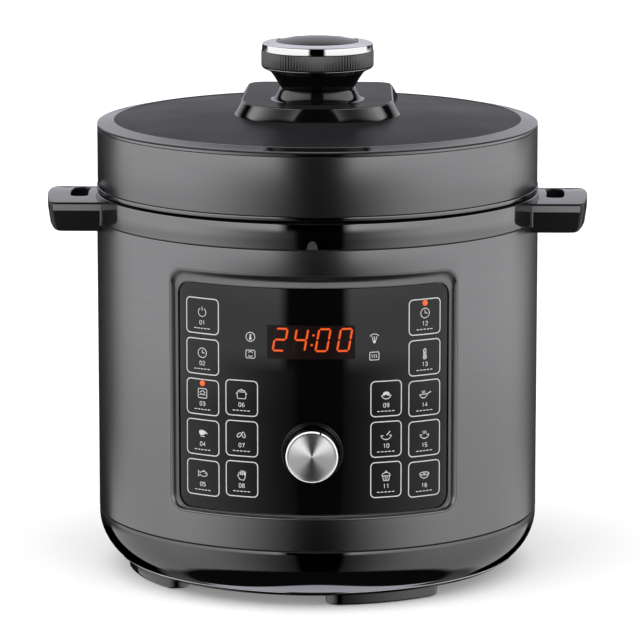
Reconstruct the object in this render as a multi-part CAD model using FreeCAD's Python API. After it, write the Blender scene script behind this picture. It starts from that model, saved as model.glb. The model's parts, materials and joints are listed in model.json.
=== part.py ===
import FreeCAD, Part
import math
import os
from FreeCAD import Vector

# Electric pressure cooker with a removable, knob-locked lid.
# Millimetres. +Z is up, the worktop is z = 0, the body's axis is the Z axis and the
# control panel faces -Y. Azimuths are in degrees from the front, growing towards +X.

# ---------------------------------------------------------------- clearances
seam = 0.4              # open line between two visible casings
fit = 0.1               # assembly clearance inside one body
flush = 0.05            # radial play of a pressed-in piece
run = 0.3               # clearance between bodies that move apart
play = 0.05             # radial clearance of a shaft in its bore

# ---------------------------------------------------------------- casing sizes
body_radius = 135.0
skin = 0.8              # steel sheet of the shell and the lid band
wall = 2.5              # moulded casing wall
foot_height = 7.0
base_height = 30.7
pot_height = 152.0
heater_space = 28.4      # shell height beyond the pot's: heater, floor and boards
collar_height = 15.5
lid_gap = 1.6
trim_height = 2.5
band_height = 36.1
edge_height = 2.4
crest_rise = 2.5
crest_inset = 10.0
crest_step = 0.6
dome_rise = 5.0

base_bottom = foot_height
shell_height = pot_height + heater_space
shell_bottom = base_bottom + base_height
shell_top = shell_bottom + shell_height
collar_top = shell_top + collar_height
lid_bottom = collar_top + lid_gap
band_bottom = lid_bottom + trim_height
band_top = band_bottom + band_height
edge_top = band_top + edge_height
crest_top = edge_top + crest_rise
skin_inside = body_radius - skin
deep_radius = body_radius - 35.0     # inner end of cuts made from outside
far_radius = body_radius + 65.0      # outer end of cuts and blanks
spigot_radius = skin_inside - run
spigot_wall = 2.2
spigot_length = 6.0

# base bowl: a quarter ellipse from the seam down to the flat underside
bowl_center_radius = body_radius - 47.0
bowl_top_drop = 3.0
bowl_sink = 9.2
groove_height = 1.0
base_opening_inset = 39.0
base_opening_radius = body_radius - base_opening_inset
base_ledge = 10.0
base_cover_thickness = 2.0
base_slot_start = 30.0
base_slot_count = 12
base_slot_width = 3.0
base_slot_length = 26.0
base_screw_radius = 1.5
base_screw_head = 1.8
standoff_radius = 3.0
standoff_height = 6.0

# feet: curved blocks on the bowl's underside, with rubber pads
foot_radius = body_radius - 17.4
foot_depth = 16.6
foot_half_angle = 18.6
foot_azimuths = [22.5, 115.5, 202.5, 295.5]
foot_corner = 3.0
pad_proud = 0.6
pad_sunk = 1.4
pad_border = 3.0

# ---------------------------------------------------------------- handles
handle_length = 30.0
handle_reach = body_radius + handle_length
handle_half_depth = 35.0
handle_drop = 5.8
handle_edge_height = 17.9
handle_crown = 1.9
handle_chamfer = 3.4
handle_plan_corner = 8.0
handle_bottom_corner = 6.0
slot_inner_radius = body_radius + 5.5
slot_width = 11.8
slot_half_depth = 18.0
slot_corner = 4.5
handle_screw_radius = 2.0
handle_screw_spread = 22.0
handle_screw_length = 16.0
screw_head_height = 2.2

# ---------------------------------------------------------------- control panel
panel_half_angle = 36.9
panel_foot = 21.8
panel_head = 23.1        # shell height left above the panel
panel_tall = shell_height - panel_foot - panel_head
panel_radius = body_radius - 2.5
panel_thickness = 2.0
panel_corner = 8.0
bezel_top_slope = 8.4
bezel_bottom_slope = 3.0
bezel_side_slope = 2.3   # degrees
bezel_lip = 4.0
bezel_rim = 0.5
touch_thickness = 0.5
panel_low = shell_bottom + panel_foot
panel_high = panel_low + panel_tall
panel_back = panel_radius - panel_thickness

dial_rise = 38.0
dial_radius = 15.6
dial_taper = 0.4
dial_height = 15.0       # of its face over the panel
dial_cap = 3.5           # of the knob's front beyond the shaft's end
dial_recess = 1.4
dial_wall = 1.4
dial_rim = 1.1
surround_inner_radius = 16.3
surround_outer_radius = 18.1
surround_height = 1.9
encoder_size = 14.0
encoder_depth = 7.0
bushing_radius = 3.6
bushing_height = 3.5
encoder_shaft_radius = 3.0
dial_hub_radius = 6.0
dial_z = panel_low + dial_rise
dial_reach = panel_radius + dial_height
surround_reach = panel_radius + surround_height
bushing_reach = panel_radius + bushing_height

display_drop = 30.4      # of its middle below the panel's top
display_width = 54.0
display_tall = 21.0
display_depth = 5.6
board_front = panel_radius - 10.9
board_thickness = 1.6
board_half_width = body_radius - 93.0
board_margin = 1.0
board_post_radius = 2.2
board_post_inset = 1.8
board_post_spread = board_half_width - 6.0
status_azimuth = 16.0
led_radius = 1.3
led_length = 2.8
key_azimuth = 29.7
key_rise = 18.5
key_head = 19.4          # of the top row's middle below the panel's top
key_rows = 5
key_pitch = (panel_tall - key_rise - key_head) / (key_rows - 1)
key_led_rise = 8.2
status_drop = 39.9
status_pitch = 10.2
status_rise = panel_tall - status_drop
display_z = panel_high - display_drop
led_places = []
for side in (-1, 1):
    for row in range(key_rows):
        led_places.append((side * key_azimuth, key_rise + row * key_pitch + key_led_rise))
    for row in range(2):
        led_places.append((side * status_azimuth, status_rise + row * status_pitch))

# ---------------------------------------------------------------- pot and heater
pot_inner_radius = body_radius - 25.0
pot_wall = 1.5
pot_flange_radius = pot_inner_radius + 9.0
pot_corner = 22.0
pot_rim_below_collar = 20.6
housing_radius = pot_inner_radius + 7.0
housing_upper_radius = body_radius - 9.0
housing_wall = 1.0
housing_floor_radius = housing_radius - 19.0
housing_floor_drop = 20.5
housing_cone_low = 5.5
housing_cone_high = 39.0
housing_hole_radius = 20.0
ring_below_collar = 10.1
ring_thickness = 2.5
ring_outer_radius = body_radius - 3.5
ring_gap_radius = body_radius - 9.6
tooth_inner_radius = body_radius - 14.4
tooth_count = 6
tooth_width = 24.0       # degrees
ring_screw_radius = 1.1
ring_screw_circle = body_radius - 5.6
ring_screw_length = 11.0

plate_radius = pot_inner_radius - 20.0
plate_thickness = 12.0
plate_hole_radius = 17.0
element_radius = plate_radius - 22.0
element_tube_radius = 4.3
element_sunk = 2.0
terminal_radius = 2.0
terminal_spacing = 8.0
terminal_length = 10.0
support_radius = 5.0
support_circle = 46.0
sensor_radius = 13.4
sensor_wall = 1.6
sensor_cap_height = 13.0
sensor_flange_radius = 24.0
sensor_flange_thickness = 1.5
sensor_tube_height = 16.0
sensor_spring_radius = 8.5
sensor_spring_wire = 0.6
sensor_spring_turns = 4

power_board_half_width = 0.5 * base_opening_radius
power_board_front = 0.75 * base_opening_radius
power_board_back = power_board_front - 52.0
part_margin = 6.0
relay_width = 19.0
relay_depth = 15.0
relay_height = 13.4
transformer_width = 24.0
transformer_depth = 22.0
transformer_height = 15.4
capacitor_radius = 6.0
capacitor_height = 16.4
terminals_depth = 6.0
terminals_height = 6.4
standoff_inset = 4.0

pot_rim = collar_top - pot_rim_below_collar
pot_bottom = pot_rim - pot_height
pot_outer_radius = pot_inner_radius + pot_wall
shelf_top = pot_rim - pot_wall - run - 0.3
plate_top = pot_bottom - run
plate_bottom = plate_top - plate_thickness
housing_floor = plate_bottom - housing_floor_drop + plate_thickness
ring_top = collar_top - ring_below_collar
ring_bottom = ring_top - ring_thickness

# ---------------------------------------------------------------- rear: inlet and cup
inlet_rise = 19.3        # of its middle over the shell's lower edge
inlet_half_width = 25.0
inlet_half_height = 12.0
inlet_proud = 3.0
inlet_corner = 3.0
socket_half_width = 12.2
socket_half_height = 8.2
socket_depth = 19.0
inlet_body_wall = 1.6
inlet_body_depth = 24.5
pin_length = 13.0
pin_width = 2.0
pin_height = 4.0
pin_spacing = 7.0
inlet_screw_spacing = 40.0
inlet_screw_radius = 1.6
inlet_screw_sink = 1.8
inlet_screw_length = 10.0
inlet_screw_head = 1.6
inlet_z = shell_bottom + inlet_rise
inlet_reach = body_radius + inlet_proud
socket_bottom = inlet_reach - socket_depth
inlet_body_back = inlet_reach - inlet_body_depth

cup_half_width = 23.0
cup_wall = 1.6
cup_height = 41.0
cup_drop = 55.1          # of its floor below the shell's upper edge
cup_set_in = 8.6
cup_depth = 21.1
cup_corner = 4.0
pocket_wall = 1.8
drip_radius = 3.0
cup_low = shell_top - cup_drop
cup_front = body_radius - cup_set_in
cup_reach = cup_front + cup_depth

# ---------------------------------------------------------------- lid
hatch_gap = 0.2
cover_wall = 2.4
notch_half_angle = 13.3
notch_inner_radius = body_radius - 8.8
notch_outer_radius = body_radius - 3.4
notch_depth = 1.0
lid_base_thickness = 2.0
lid_base_hole_radius = 13.0
boss_radius = 4.0
boss_circle = body_radius - 18.0
lid_screw_radius = 1.75
lid_screw_length = 12.0

pedestal_half_width = 46.0
pedestal_front = 46.5
pedestal_back = 80.5
pedestal_back_taper = 1.3
pedestal_front_corner = 44.0
pedestal_back_corner = 11.0
pedestal_flare = 4.3
pedestal_front_flare = 3.2
pedestal_foot_corner = 32.0
pedestal_height = 7.0    # of its plain top over the lid at the front
pedestal_wall = 3.2
neck_radius = 22.9
neck_foot_radius = 28.5
neck_height = 7.2
vent_half_width = 17.0
vent_half_depth = 5.5
vent_center = 62.0
vent_slot_count = 5
vent_slot_width = 4.2
vent_rim = 1.8

# ---------------------------------------------------------------- lock: knob and inner lid
knob_gap = 0.3
knob_foot_radius = 22.9
knob_waist_height = 5.6
knob_shoulder_height = 9.8
grip_radius = 34.3
knob_waist_radius = grip_radius - 8.5
knob_shoulder_radius = grip_radius - 5.4
knob_core_radius = grip_radius - 3.3
grip_height = 9.8
grip_groove = 0.6
grip_teeth = 110
grip_rise = 12.7
chrome_radius = grip_radius - 0.3
chrome_height = 4.6
chrome_bevel = 0.8
button_radius = grip_radius - 8.6
button_dome = 3.4
button_edge = 2.2
button_recess = 0.5
button_stroke = 3.0
button_stem_radius = 5.0
knob_floor_thickness = 2.4
hub_radius = 13.0
spindle_radius = 8.0
spindle_bore = 4.0
spindle_flange_radius = 16.0
spindle_flange_thickness = 3.0
bush_radius = 12.0

inner_lid_radius = body_radius - 15.2
lid_tooth_radius = body_radius - 10.4
lid_tooth_gap = 0.4
inner_lid_thickness = 2.0
inner_lid_land = body_radius - 30.0
inner_lid_dish = body_radius - 36.0
inner_lid_rise = 9.4
inner_plate_thickness = 1.5
gasket_inner_radius = body_radius - 26.7
gasket_lip = 2.6
retainer_wall = 1.8
retainer_gap = 0.3
nut_radius = 13.0
nut_height = 5.0
plug_radius = 6.0
plug_height = 3.0
rod_radius = 2.5
guard_radius = 18.0
guard_height = 14.5
guard_wall = 1.0
guard_slot_count = 8
guard_slot_width = 3.0

float_circle = 58.0
float_azimuth = 135.0
float_radius = 2.5
float_head_radius = 5.2
float_head_height = 2.0
float_seal_height = 1.2
float_stroke = 3.0
float_cap_radius = 4.0
float_cap_height = 1.0

spring_wire = 0.6
vent_spring_radius = 7.2
vent_spring_turns = 4

neck_foot = crest_top - crest_step + dome_rise + pedestal_height - 0.9
neck_top = neck_foot + neck_height
knob_bottom = neck_top + knob_gap
grip_bottom = knob_bottom + grip_rise
chrome_bottom = grip_bottom + grip_height + hatch_gap
chrome_top = chrome_bottom + chrome_height
tooth_top = ring_bottom - lid_tooth_gap
tooth_bottom = tooth_top - inner_lid_thickness
plate_under = tooth_bottom + inner_lid_rise
plate_over = plate_under + inner_plate_thickness
spindle_shoulder = plate_over + spindle_flange_thickness
button_top = chrome_top + button_dome
button_under = chrome_top - button_edge - button_recess
knob_floor_top = button_under - button_stroke - 2.6
spindle_top = knob_floor_top - knob_floor_thickness
pitch_angle = 360.0 / tooth_count


# ================================================================ helpers
def at(radius, azimuth, z=0.0):
    """Point at a radius and an azimuth from the front."""
    angle = math.radians(azimuth)
    return Vector(radius * math.sin(angle), -radius * math.cos(angle), z)


def section(points):
    """Flat face in the XZ plane from (radius, height) points."""
    corners = [Vector(radius, 0, z) for radius, z in points]
    return Part.Face(Part.makePolygon(corners + [corners[0]]))


def turned(points):
    """Solid of revolution about the body's axis."""
    return section(points).revolve(Vector(0, 0, 0), Vector(0, 0, 1), 360)


def sector(points, half_angle, azimuth=0.0):
    """Part of a solid of revolution, centred on an azimuth."""
    solid = section(points).revolve(Vector(0, 0, 0), Vector(0, 0, 1), 2 * half_angle)
    solid.rotate(Vector(0, 0, 0), Vector(0, 0, 1), azimuth - 90.0 - half_angle)
    return solid


def disc(radius, low, high, x=0.0, y=0.0):
    """Upright cylinder between two heights."""
    return Part.makeCylinder(radius, high - low, Vector(x, y, low))


def tube(inner, outer, low, high, x=0.0, y=0.0):
    """Upright tube between two heights."""
    return disc(outer, low, high, x, y).cut(disc(inner, low - 1, high + 1, x, y))


def block(x0, x1, y0, y1, z0, z1):
    """Box between two corners."""
    return Part.makeBox(x1 - x0, y1 - y0, z1 - z0, Vector(x0, y0, z0))


def rod_y(radius, y0, y1, x, z):
    """Cylinder along Y between two places."""
    return Part.makeCylinder(radius, y1 - y0, Vector(x, y0, z), Vector(0, 1, 0))


def spun(shape, azimuth):
    """Copy turned about the body's axis."""
    copy = shape.copy()
    copy.rotate(Vector(0, 0, 0), Vector(0, 0, 1), azimuth)
    return copy


def ring_of(shape, azimuths):
    """Copies of one shape at several azimuths, as a list."""
    return [spun(shape, azimuth) for azimuth in azimuths]


def group(shapes):
    """Several separate solids in one node."""
    return Part.makeCompound(shapes)


def rounded(shape, radius, chosen):
    """Fillet the edges for which chosen(edge) is true."""
    edges = [edge for edge in shape.Edges if chosen(edge)]
    return shape.makeFillet(radius, edges)


def upright(edge):
    """True for a straight vertical edge."""
    if len(edge.Vertexes) != 2:
        return False
    span = edge.Vertexes[1].Point - edge.Vertexes[0].Point
    return abs(span.z) > 0.9 * edge.Length


def window_block(r_in, r_out, half_in, half_out, z_in, z_out, corner):
    """Curved block that follows the body, with rounded corners seen from the front.

    z_in and z_out are its (low, high) heights at its inner and outer radius, and
    half_in and half_out are its half widths there in degrees.
    """
    profile = [(r_in, z_in[0]), (r_out, z_out[0]), (r_out, z_out[1]), (r_in, z_in[1])]
    ring = sector(profile, half_out + 12.0)
    inner = at(r_in, half_in)
    outer = at(r_out, half_out)
    reach = inner + (outer - inner) * 3.0
    front = -(r_out + 20.0)
    outline = [inner, reach, Vector(reach.x, front, 0)]
    mirrored = [Vector(-point.x, point.y, 0) for point in reversed(outline)]
    wedge = Part.Face(Part.makePolygon(outline + mirrored + [inner]))
    low = min(z_in[0], z_out[0]) - 1.0
    high = max(z_in[1], z_out[1]) + 1.0
    wedge.translate(Vector(0, 0, low))
    solid = ring.common(wedge.extrude(Vector(0, 0, high - low)))

    def radial(edge):
        ends = [math.hypot(v.X, v.Y) for v in edge.Vertexes]
        return len(ends) == 2 and abs(ends[0] - ends[1]) > 0.9 * (r_out - r_in)

    return rounded(solid.Solids[0], corner, radial)


def coil(radius, wire, low, high, turns):
    """Helical compression spring between two heights."""
    pitch = (high - low - 2 * wire) / turns
    helix = Part.makeHelix(pitch, pitch * turns, radius)
    circle = Part.makeCircle(wire, Vector(radius, 0, 0), Vector(0, 1, 0))
    spring = Part.Wire(helix).makePipeShell([Part.Wire(circle)], True, True)
    spring.translate(Vector(0, 0, low + wire))
    return spring


def screw(radius, length, head):
    """Screw that points up, its head's top face at z = 0 below the shank."""
    shank = disc(radius, 0, length)
    cap = disc(2.0 * radius, -head, 0)
    slot = block(-2.0 * radius, 2.0 * radius, -0.3, 0.3, -head, -0.6 * head)
    return cap.fuse(shank).removeSplitter().cut(slot)


def moved(shape, x, y, z):
    """Copy moved by a distance."""
    copy = shape.copy()
    copy.translate(Vector(x, y, z))
    return copy


# ================================================================ base
def bowl_face(center_radius, center_z, reach, depth, floor):
    """Face under a quarter ellipse, from the axis out to the bowl's wall."""
    center = Vector(center_radius, 0, center_z)
    side = Vector(center_radius + reach, 0, center_z)
    if depth > reach:
        ellipse = Part.Ellipse(Vector(center_radius, 0, center_z - depth), side, center)
    else:
        ellipse = Part.Ellipse(side, Vector(center_radius, 0, center_z - depth), center)
    sine = (center_z - floor) / depth
    foot = Vector(center_radius + reach * math.sqrt(1.0 - sine * sine), 0, floor)
    start = ellipse.parameter(side)
    end = ellipse.parameter(foot)
    arc = Part.Arc(ellipse, min(start, end), max(start, end)).toShape()
    lines = [
        Part.makeLine(foot, Vector(0, 0, floor)),
        Part.makeLine(Vector(0, 0, floor), Vector(0, 0, center_z)),
        Part.makeLine(Vector(0, 0, center_z), side),
    ]
    return Part.Face(Part.Wire(Part.__sortEdges__([arc] + lines)))


def make_base_shell():
    center_z = shell_bottom - bowl_top_drop
    reach = body_radius - 0.1 - bowl_center_radius
    depth = base_height - bowl_top_drop + bowl_sink
    outer = bowl_face(bowl_center_radius, center_z, reach, depth, base_bottom)
    inner = bowl_face(bowl_center_radius, center_z, reach - wall, depth - wall, base_bottom + wall)
    bowl = outer.revolve(Vector(0, 0, 0), Vector(0, 0, 1), 360)
    shoulder = disc(bowl_center_radius + reach, center_z, shell_bottom - groove_height)
    spigot = disc(spigot_radius, center_z, shell_bottom + spigot_length)
    solid = bowl.fuse(shoulder).fuse(spigot)
    hollow = inner.revolve(Vector(0, 0, 0), Vector(0, 0, 1), 360)
    hollow = hollow.fuse(disc(spigot_radius - spigot_wall, center_z, shell_bottom + spigot_length + 1))
    solid = solid.cut(hollow)
    solid = solid.cut(disc(base_opening_radius, base_bottom - 1, base_bottom + wall + 1))
    ledge_low = base_bottom + base_cover_thickness
    ledge = tube(base_opening_radius - base_ledge, base_opening_radius + 4.0, ledge_low, ledge_low + wall)
    solid = solid.fuse(ledge).removeSplitter()
    hole = disc(1.6, ledge_low - 1, ledge_low + wall + 1, base_opening_radius - 0.5 * base_ledge, 0)
    for azimuth in (45, 135, 225, 315):
        solid = solid.cut(spun(hole, azimuth))
    return solid


def make_base_cover():
    radius = base_opening_radius - run
    cover = disc(radius, base_bottom, base_bottom + base_cover_thickness)
    half_slot = 0.5 * base_slot_width
    slot = block(base_slot_start, base_slot_start + base_slot_length, -half_slot, half_slot,
                 base_bottom - 1, base_bottom + base_cover_thickness + 1)
    for index in range(base_slot_count):
        cover = cover.cut(spun(slot, index * 360.0 / base_slot_count))
    hole = disc(base_screw_radius + fit, base_bottom - 1, base_bottom + base_cover_thickness + 1,
                base_opening_radius - 0.5 * base_ledge, 0)
    for azimuth in (45, 135, 225, 315):
        cover = cover.cut(spun(hole, azimuth))
    top = base_bottom + base_cover_thickness
    for x, y in board_standoffs:
        cover = cover.fuse(disc(standoff_radius, top, power_board_low, x, y))
    return cover.removeSplitter()


def make_base_screws():
    one = screw(base_screw_radius, base_cover_thickness + wall + 3.0, base_screw_head)
    one = moved(one, base_opening_radius - 0.5 * base_ledge, 0, base_bottom)
    return group(ring_of(one, (45, 135, 225, 315)))


def foot_section(low, high, border):
    inner = foot_radius - foot_depth + border
    outer = foot_radius - border
    return [(inner, low), (outer, low), (outer, high), (inner, high)]


def make_feet():
    foot = sector(foot_section(pad_proud, base_bottom, 0.0), foot_half_angle)

    def end_corner(edge):
        low = all(abs(v.Z - pad_proud) < 0.01 for v in edge.Vertexes)
        ends = [math.hypot(v.X, v.Y) for v in edge.Vertexes]
        return low and len(ends) == 2 and abs(ends[0] - ends[1]) > 0.5 * foot_depth

    foot = rounded(foot, foot_corner, end_corner)
    pocket = foot_section(0.0, pad_proud + pad_sunk, pad_border - fit)
    foot = foot.cut(sector(pocket, foot_half_angle - pad_border))
    return group(ring_of(foot, foot_azimuths))


def make_foot_pads():
    pad = sector(foot_section(0.0, pad_proud + pad_sunk, pad_border), foot_half_angle - pad_border - 0.1)
    return group(ring_of(pad, foot_azimuths))


# ================================================================ shell, collar, handles
def bezel_outline(r_in, r_out, grow_angle, grow_height, corner):
    """Curved block on the frame's outer outline, grown all round."""
    half = panel_half_angle + bezel_side_slope + grow_angle
    low = panel_low - bezel_bottom_slope - grow_height
    high = panel_high + bezel_top_slope + grow_height
    return window_block(r_in, r_out, half, half, (low, high), (low, high), corner)


def panel_outline(r_in, r_out, grow):
    """Curved block on the panel's outline, grown all round by a distance."""
    half = panel_half_angle + math.degrees(grow / panel_radius)
    heights = (panel_low - grow, panel_high + grow)
    return window_block(r_in, r_out, half, half, heights, heights, max(panel_corner + grow, 2.0))


def make_outer_shell():
    solid = tube(skin_inside, body_radius, shell_bottom, shell_top)
    window = bezel_outline(skin_inside - 2, body_radius + 2, math.degrees(fit / body_radius), fit,
                           panel_corner + 1.5)
    solid = solid.cut(window)
    pocket = block(-pocket_half_width - fit, pocket_half_width + fit, deep_radius, body_radius + 5,
                   pocket_low - fit, pocket_high + fit)
    solid = solid.cut(pocket)
    inlet = block(-socket_half_width - inlet_body_wall - fit, socket_half_width + inlet_body_wall + fit,
                  deep_radius, body_radius + 5, inlet_z - socket_half_height - inlet_body_wall - fit,
                  inlet_z + socket_half_height + inlet_body_wall + fit)
    solid = solid.cut(inlet)
    for side in (-1, 1):
        x = side * 0.5 * inlet_screw_spacing
        hole = rod_y(inlet_screw_radius + fit, deep_radius, body_radius + 5, x, inlet_z)
        solid = solid.cut(hole)
    return solid


def make_collar():
    inside = housing_upper_radius + housing_wall + 0.4
    low = ring_top
    profile = [
        (inside - 0.8, collar_top),
        (body_radius - 1.2, collar_top),
        (body_radius, collar_top - 1.2),
        (body_radius, shell_top + seam),
        (spigot_radius, shell_top + seam),
        (spigot_radius, shell_top - spigot_length),
        (spigot_radius - 2.0, shell_top - spigot_length),
        (spigot_radius - 2.0, low),
        (inside - 0.8, low),
    ]
    collar = turned(profile)
    for side in (-1, 1):
        for spread in (-1, 1):
            y = spread * handle_screw_spread
            start = math.sqrt((body_radius + 1.0) ** 2 - y * y)
            inner = math.sqrt(inside ** 2 - y * y) - 3.0
            hole = Part.makeCylinder(handle_screw_radius + fit, start - inner + 3.0,
                                     Vector(side * inner, y, handle_screw_z), Vector(side, 0, 0))
            collar = collar.cut(hole)
            head = Part.makeCylinder(2 * handle_screw_radius + fit, handle_head_x - inner,
                                     Vector(side * inner, y, handle_screw_z), Vector(side, 0, 0))
            collar = collar.cut(head)
    for index in range(tooth_count):
        depth = ring_screw_length - ring_thickness - housing_wall + 1.0
        hole = disc(ring_screw_radius + fit, low - 1, low + depth, ring_screw_circle, 0)
        collar = collar.cut(spun(hole, index * pitch_angle))
    return collar


def handle_blank():
    """Right-hand handle before its bores: crowned top, rounded plan, chamfered rim."""
    low = shell_top - handle_drop
    edge_top_z = low + handle_edge_height
    crown_z = edge_top_z + handle_crown
    crown_radius = (handle_half_depth ** 2 + handle_crown ** 2) / (2.0 * handle_crown)
    blank_start = body_radius - 75.0
    grip = block(blank_start, handle_reach + 2, -handle_half_depth, handle_half_depth, low, crown_z)
    grip = grip.common(disc(handle_reach, low - 1, crown_z + 1))

    def plan_corner(edge):
        return upright(edge) and edge.Vertexes[0].X > body_radius

    grip = rounded(grip, handle_plan_corner, plan_corner)
    crown_start = Vector(blank_start - 20, 0, crown_z - crown_radius)
    crown = Part.makeCylinder(crown_radius, handle_reach, crown_start, Vector(1, 0, 0))
    grip = grip.common(crown)

    def top_rim(edge):
        box = edge.BoundBox
        return box.ZMin > low + 0.6 * handle_edge_height and box.XMax > blank_start + 1.0

    rim = [edge for edge in grip.Edges if top_rim(edge)]
    grip = grip.makeChamfer(handle_chamfer, rim)

    def bottom_rim(edge):
        box = edge.BoundBox
        return box.ZMax < low + 0.01 and box.XMax > blank_start + 1.0

    return rounded(grip, handle_bottom_corner, bottom_rim)


def make_handle_right():
    grip = handle_blank()
    grip = grip.cut(disc(body_radius + fit, 0, collar_top + 20))
    low = shell_top - handle_drop
    slot = tube(slot_inner_radius, slot_inner_radius + slot_width, low - 1, collar_top + 20)
    slot = slot.common(block(deep_radius, far_radius, -slot_half_depth, slot_half_depth,
                             low - 1, collar_top + 20))
    slot = rounded(slot.Solids[0], slot_corner, upright)
    grip = grip.cut(slot)
    for spread in (-1, 1):
        y = spread * handle_screw_spread
        bore = Part.makeCylinder(handle_screw_radius, handle_screw_length,
                                 Vector(handle_head_x, y, handle_screw_z), Vector(1, 0, 0))
        grip = grip.cut(bore)
    return grip


def make_handle_screws():
    screws = []
    for side in (-1, 1):
        for spread in (-1, 1):
            one = screw(handle_screw_radius, handle_screw_length, screw_head_height)
            one.rotate(Vector(0, 0, 0), Vector(0, 1, 0), side * 90.0)
            screws.append(moved(one, side * handle_head_x, spread * handle_screw_spread, handle_screw_z))
    return group(screws)


# ================================================================ control panel
def make_panel_bezel():
    back = panel_back - 1.5
    frame = bezel_outline(back, body_radius, -math.degrees(fit / body_radius), -fit, panel_corner + 1.5)
    flange = bezel_outline(skin_inside - 2.2, skin_inside - fit, 1.8, bezel_lip, panel_corner + 5.0)
    frame = frame.fuse(flange)
    half_out = panel_half_angle + bezel_side_slope - math.degrees(bezel_rim / body_radius)
    grow_angle = math.degrees(fit / panel_radius)
    slope = window_block(
        panel_radius, body_radius + 0.1, panel_half_angle + grow_angle, half_out,
        (panel_low - fit, panel_high + fit),
        (panel_low - bezel_bottom_slope + bezel_rim, panel_high + bezel_top_slope - bezel_rim),
        panel_corner)
    frame = frame.cut(slope)
    frame = frame.cut(panel_outline(panel_back, panel_radius + 0.2, fit))
    frame = frame.cut(panel_outline(back - 1, panel_back + 0.5, -bezel_lip))
    for x, z in board_posts:
        post = rod_y(board_post_radius, -panel_back, -board_front, x, z)
        frame = frame.fuse(post.common(disc(panel_back, z - 10, z + 10)))
    return frame.removeSplitter()


def make_control_panel():
    panel = panel_outline(panel_back, panel_radius, 0.0)
    return panel.cut(rod_y(bushing_radius + run, -far_radius, -deep_radius, 0, dial_z))


def make_touch_board():
    front = panel_back - 0.1
    sheet = panel_outline(front - touch_thickness, front, -bezel_lip - 0.4)
    half_width = 0.5 * display_width + 0.5
    half_tall = 0.5 * display_tall + 0.5
    opening = block(-half_width, half_width, -far_radius, -deep_radius,
                    display_z - half_tall, display_z + half_tall)
    sheet = sheet.cut(opening)
    sheet = sheet.cut(rod_y(9.0, -far_radius, -deep_radius, 0, dial_z))
    for azimuth, rise in led_places:
        hole = Part.makeCylinder(led_radius + 0.2, 10.0, at(front - 5.0, azimuth, panel_low + rise),
                                 at(1.0, azimuth))
        sheet = sheet.cut(hole)
    return sheet


def make_indicator_lights():
    lights = []
    for azimuth, rise in led_places:
        base = at(panel_back - 0.2 - led_length, azimuth, panel_low + rise)
        lights.append(Part.makeCylinder(led_radius, led_length, base, at(1.0, azimuth)))
    return group(lights)


def make_display_module():
    half_width = 0.5 * display_width
    half_tall = 0.5 * display_tall
    body = block(-half_width, half_width, -board_front - display_depth, -board_front,
                 display_z - half_tall, display_z + half_tall)
    return body


def make_control_board():
    board = block(-board_half_width, board_half_width, -board_front, -board_front + board_thickness,
                  board_low, board_high)
    chip = block(-7, 7, -board_front - 1.6, -board_front, dial_z + 20, dial_z + 34)
    return board.fuse(chip).removeSplitter()


def make_encoder_body():
    half = 0.5 * encoder_size
    body = block(-half, half, -board_front - encoder_depth, -board_front, dial_z - half, dial_z + half)
    body = body.fuse(rod_y(bushing_radius, -bushing_reach, -board_front - 0.5, 0, dial_z))
    return body.cut(rod_y(encoder_shaft_radius + play, -bushing_reach - 1, -board_front - 2.0, 0, dial_z))


def make_encoder_shaft():
    return rod_y(encoder_shaft_radius, -dial_reach + dial_cap, -board_front - 2.5, 0, dial_z)


def make_dial_surround():
    ring = rod_y(surround_outer_radius, -surround_reach, -deep_radius - 20, 0, dial_z)
    ring = ring.cut(rod_y(surround_inner_radius, -far_radius, -deep_radius, 0, dial_z))
    return ring.cut(disc(panel_radius + 0.02, dial_z - 30, dial_z + 30))


def turned_y(points):
    """Solid of revolution about the dial's axis, from (radius, distance forward) points."""
    corners = [Vector(radius, -forward, dial_z) for radius, forward in points]
    face = Part.Face(Part.makePolygon(corners + [corners[0]]))
    return face.revolve(Vector(0, 0, dial_z), Vector(0, 1, 0), 360)


def make_dial_knob():
    back = panel_radius + 0.8
    bore = encoder_shaft_radius
    shaft_end = dial_reach - dial_cap
    outer = dial_radius - dial_taper
    return turned_y([
        (dial_radius, back),
        (outer, dial_reach - dial_rim),
        (outer - dial_rim, dial_reach),
        (outer - dial_rim - 0.5, dial_reach),
        (outer - dial_rim - 0.5, dial_reach - dial_recess),
        (0.0, dial_reach - dial_recess),
        (0.0, shaft_end),
        (bore, shaft_end),
        (bore, bushing_reach + 0.6),
        (dial_hub_radius, bushing_reach + 0.6),
        (dial_hub_radius, shaft_end - 1.6),
        (dial_radius - dial_wall - 0.6, shaft_end - 1.6),
        (dial_radius - dial_wall, back),
    ])


def make_dial_face():
    radius = dial_radius - dial_taper - dial_rim - 0.5 - flush
    return rod_y(radius, -dial_reach + 0.3, -dial_reach + dial_recess, 0, dial_z)


# ================================================================ pot and heater
def make_inner_pot():
    outer = [
        (0, pot_bottom),
        (pot_outer_radius, pot_bottom),
        (pot_outer_radius, pot_rim - pot_wall),
        (pot_flange_radius, pot_rim - pot_wall),
        (pot_flange_radius, pot_rim),
        (0, pot_rim),
    ]

    def bottom_edge(edge):
        box = edge.BoundBox
        return abs(box.ZMax - pot_bottom) < 0.01 and box.XMax > 0.9 * pot_outer_radius

    def well_edge(edge):
        box = edge.BoundBox
        return abs(box.ZMax - pot_bottom - pot_wall) < 0.01 and box.XMax > 0.9 * pot_inner_radius

    solid = rounded(turned(outer), pot_corner, bottom_edge)
    well = disc(pot_inner_radius, pot_bottom + pot_wall, pot_rim + 1)
    well = rounded(well, pot_corner - pot_wall, well_edge)
    return solid.cut(well)


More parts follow.
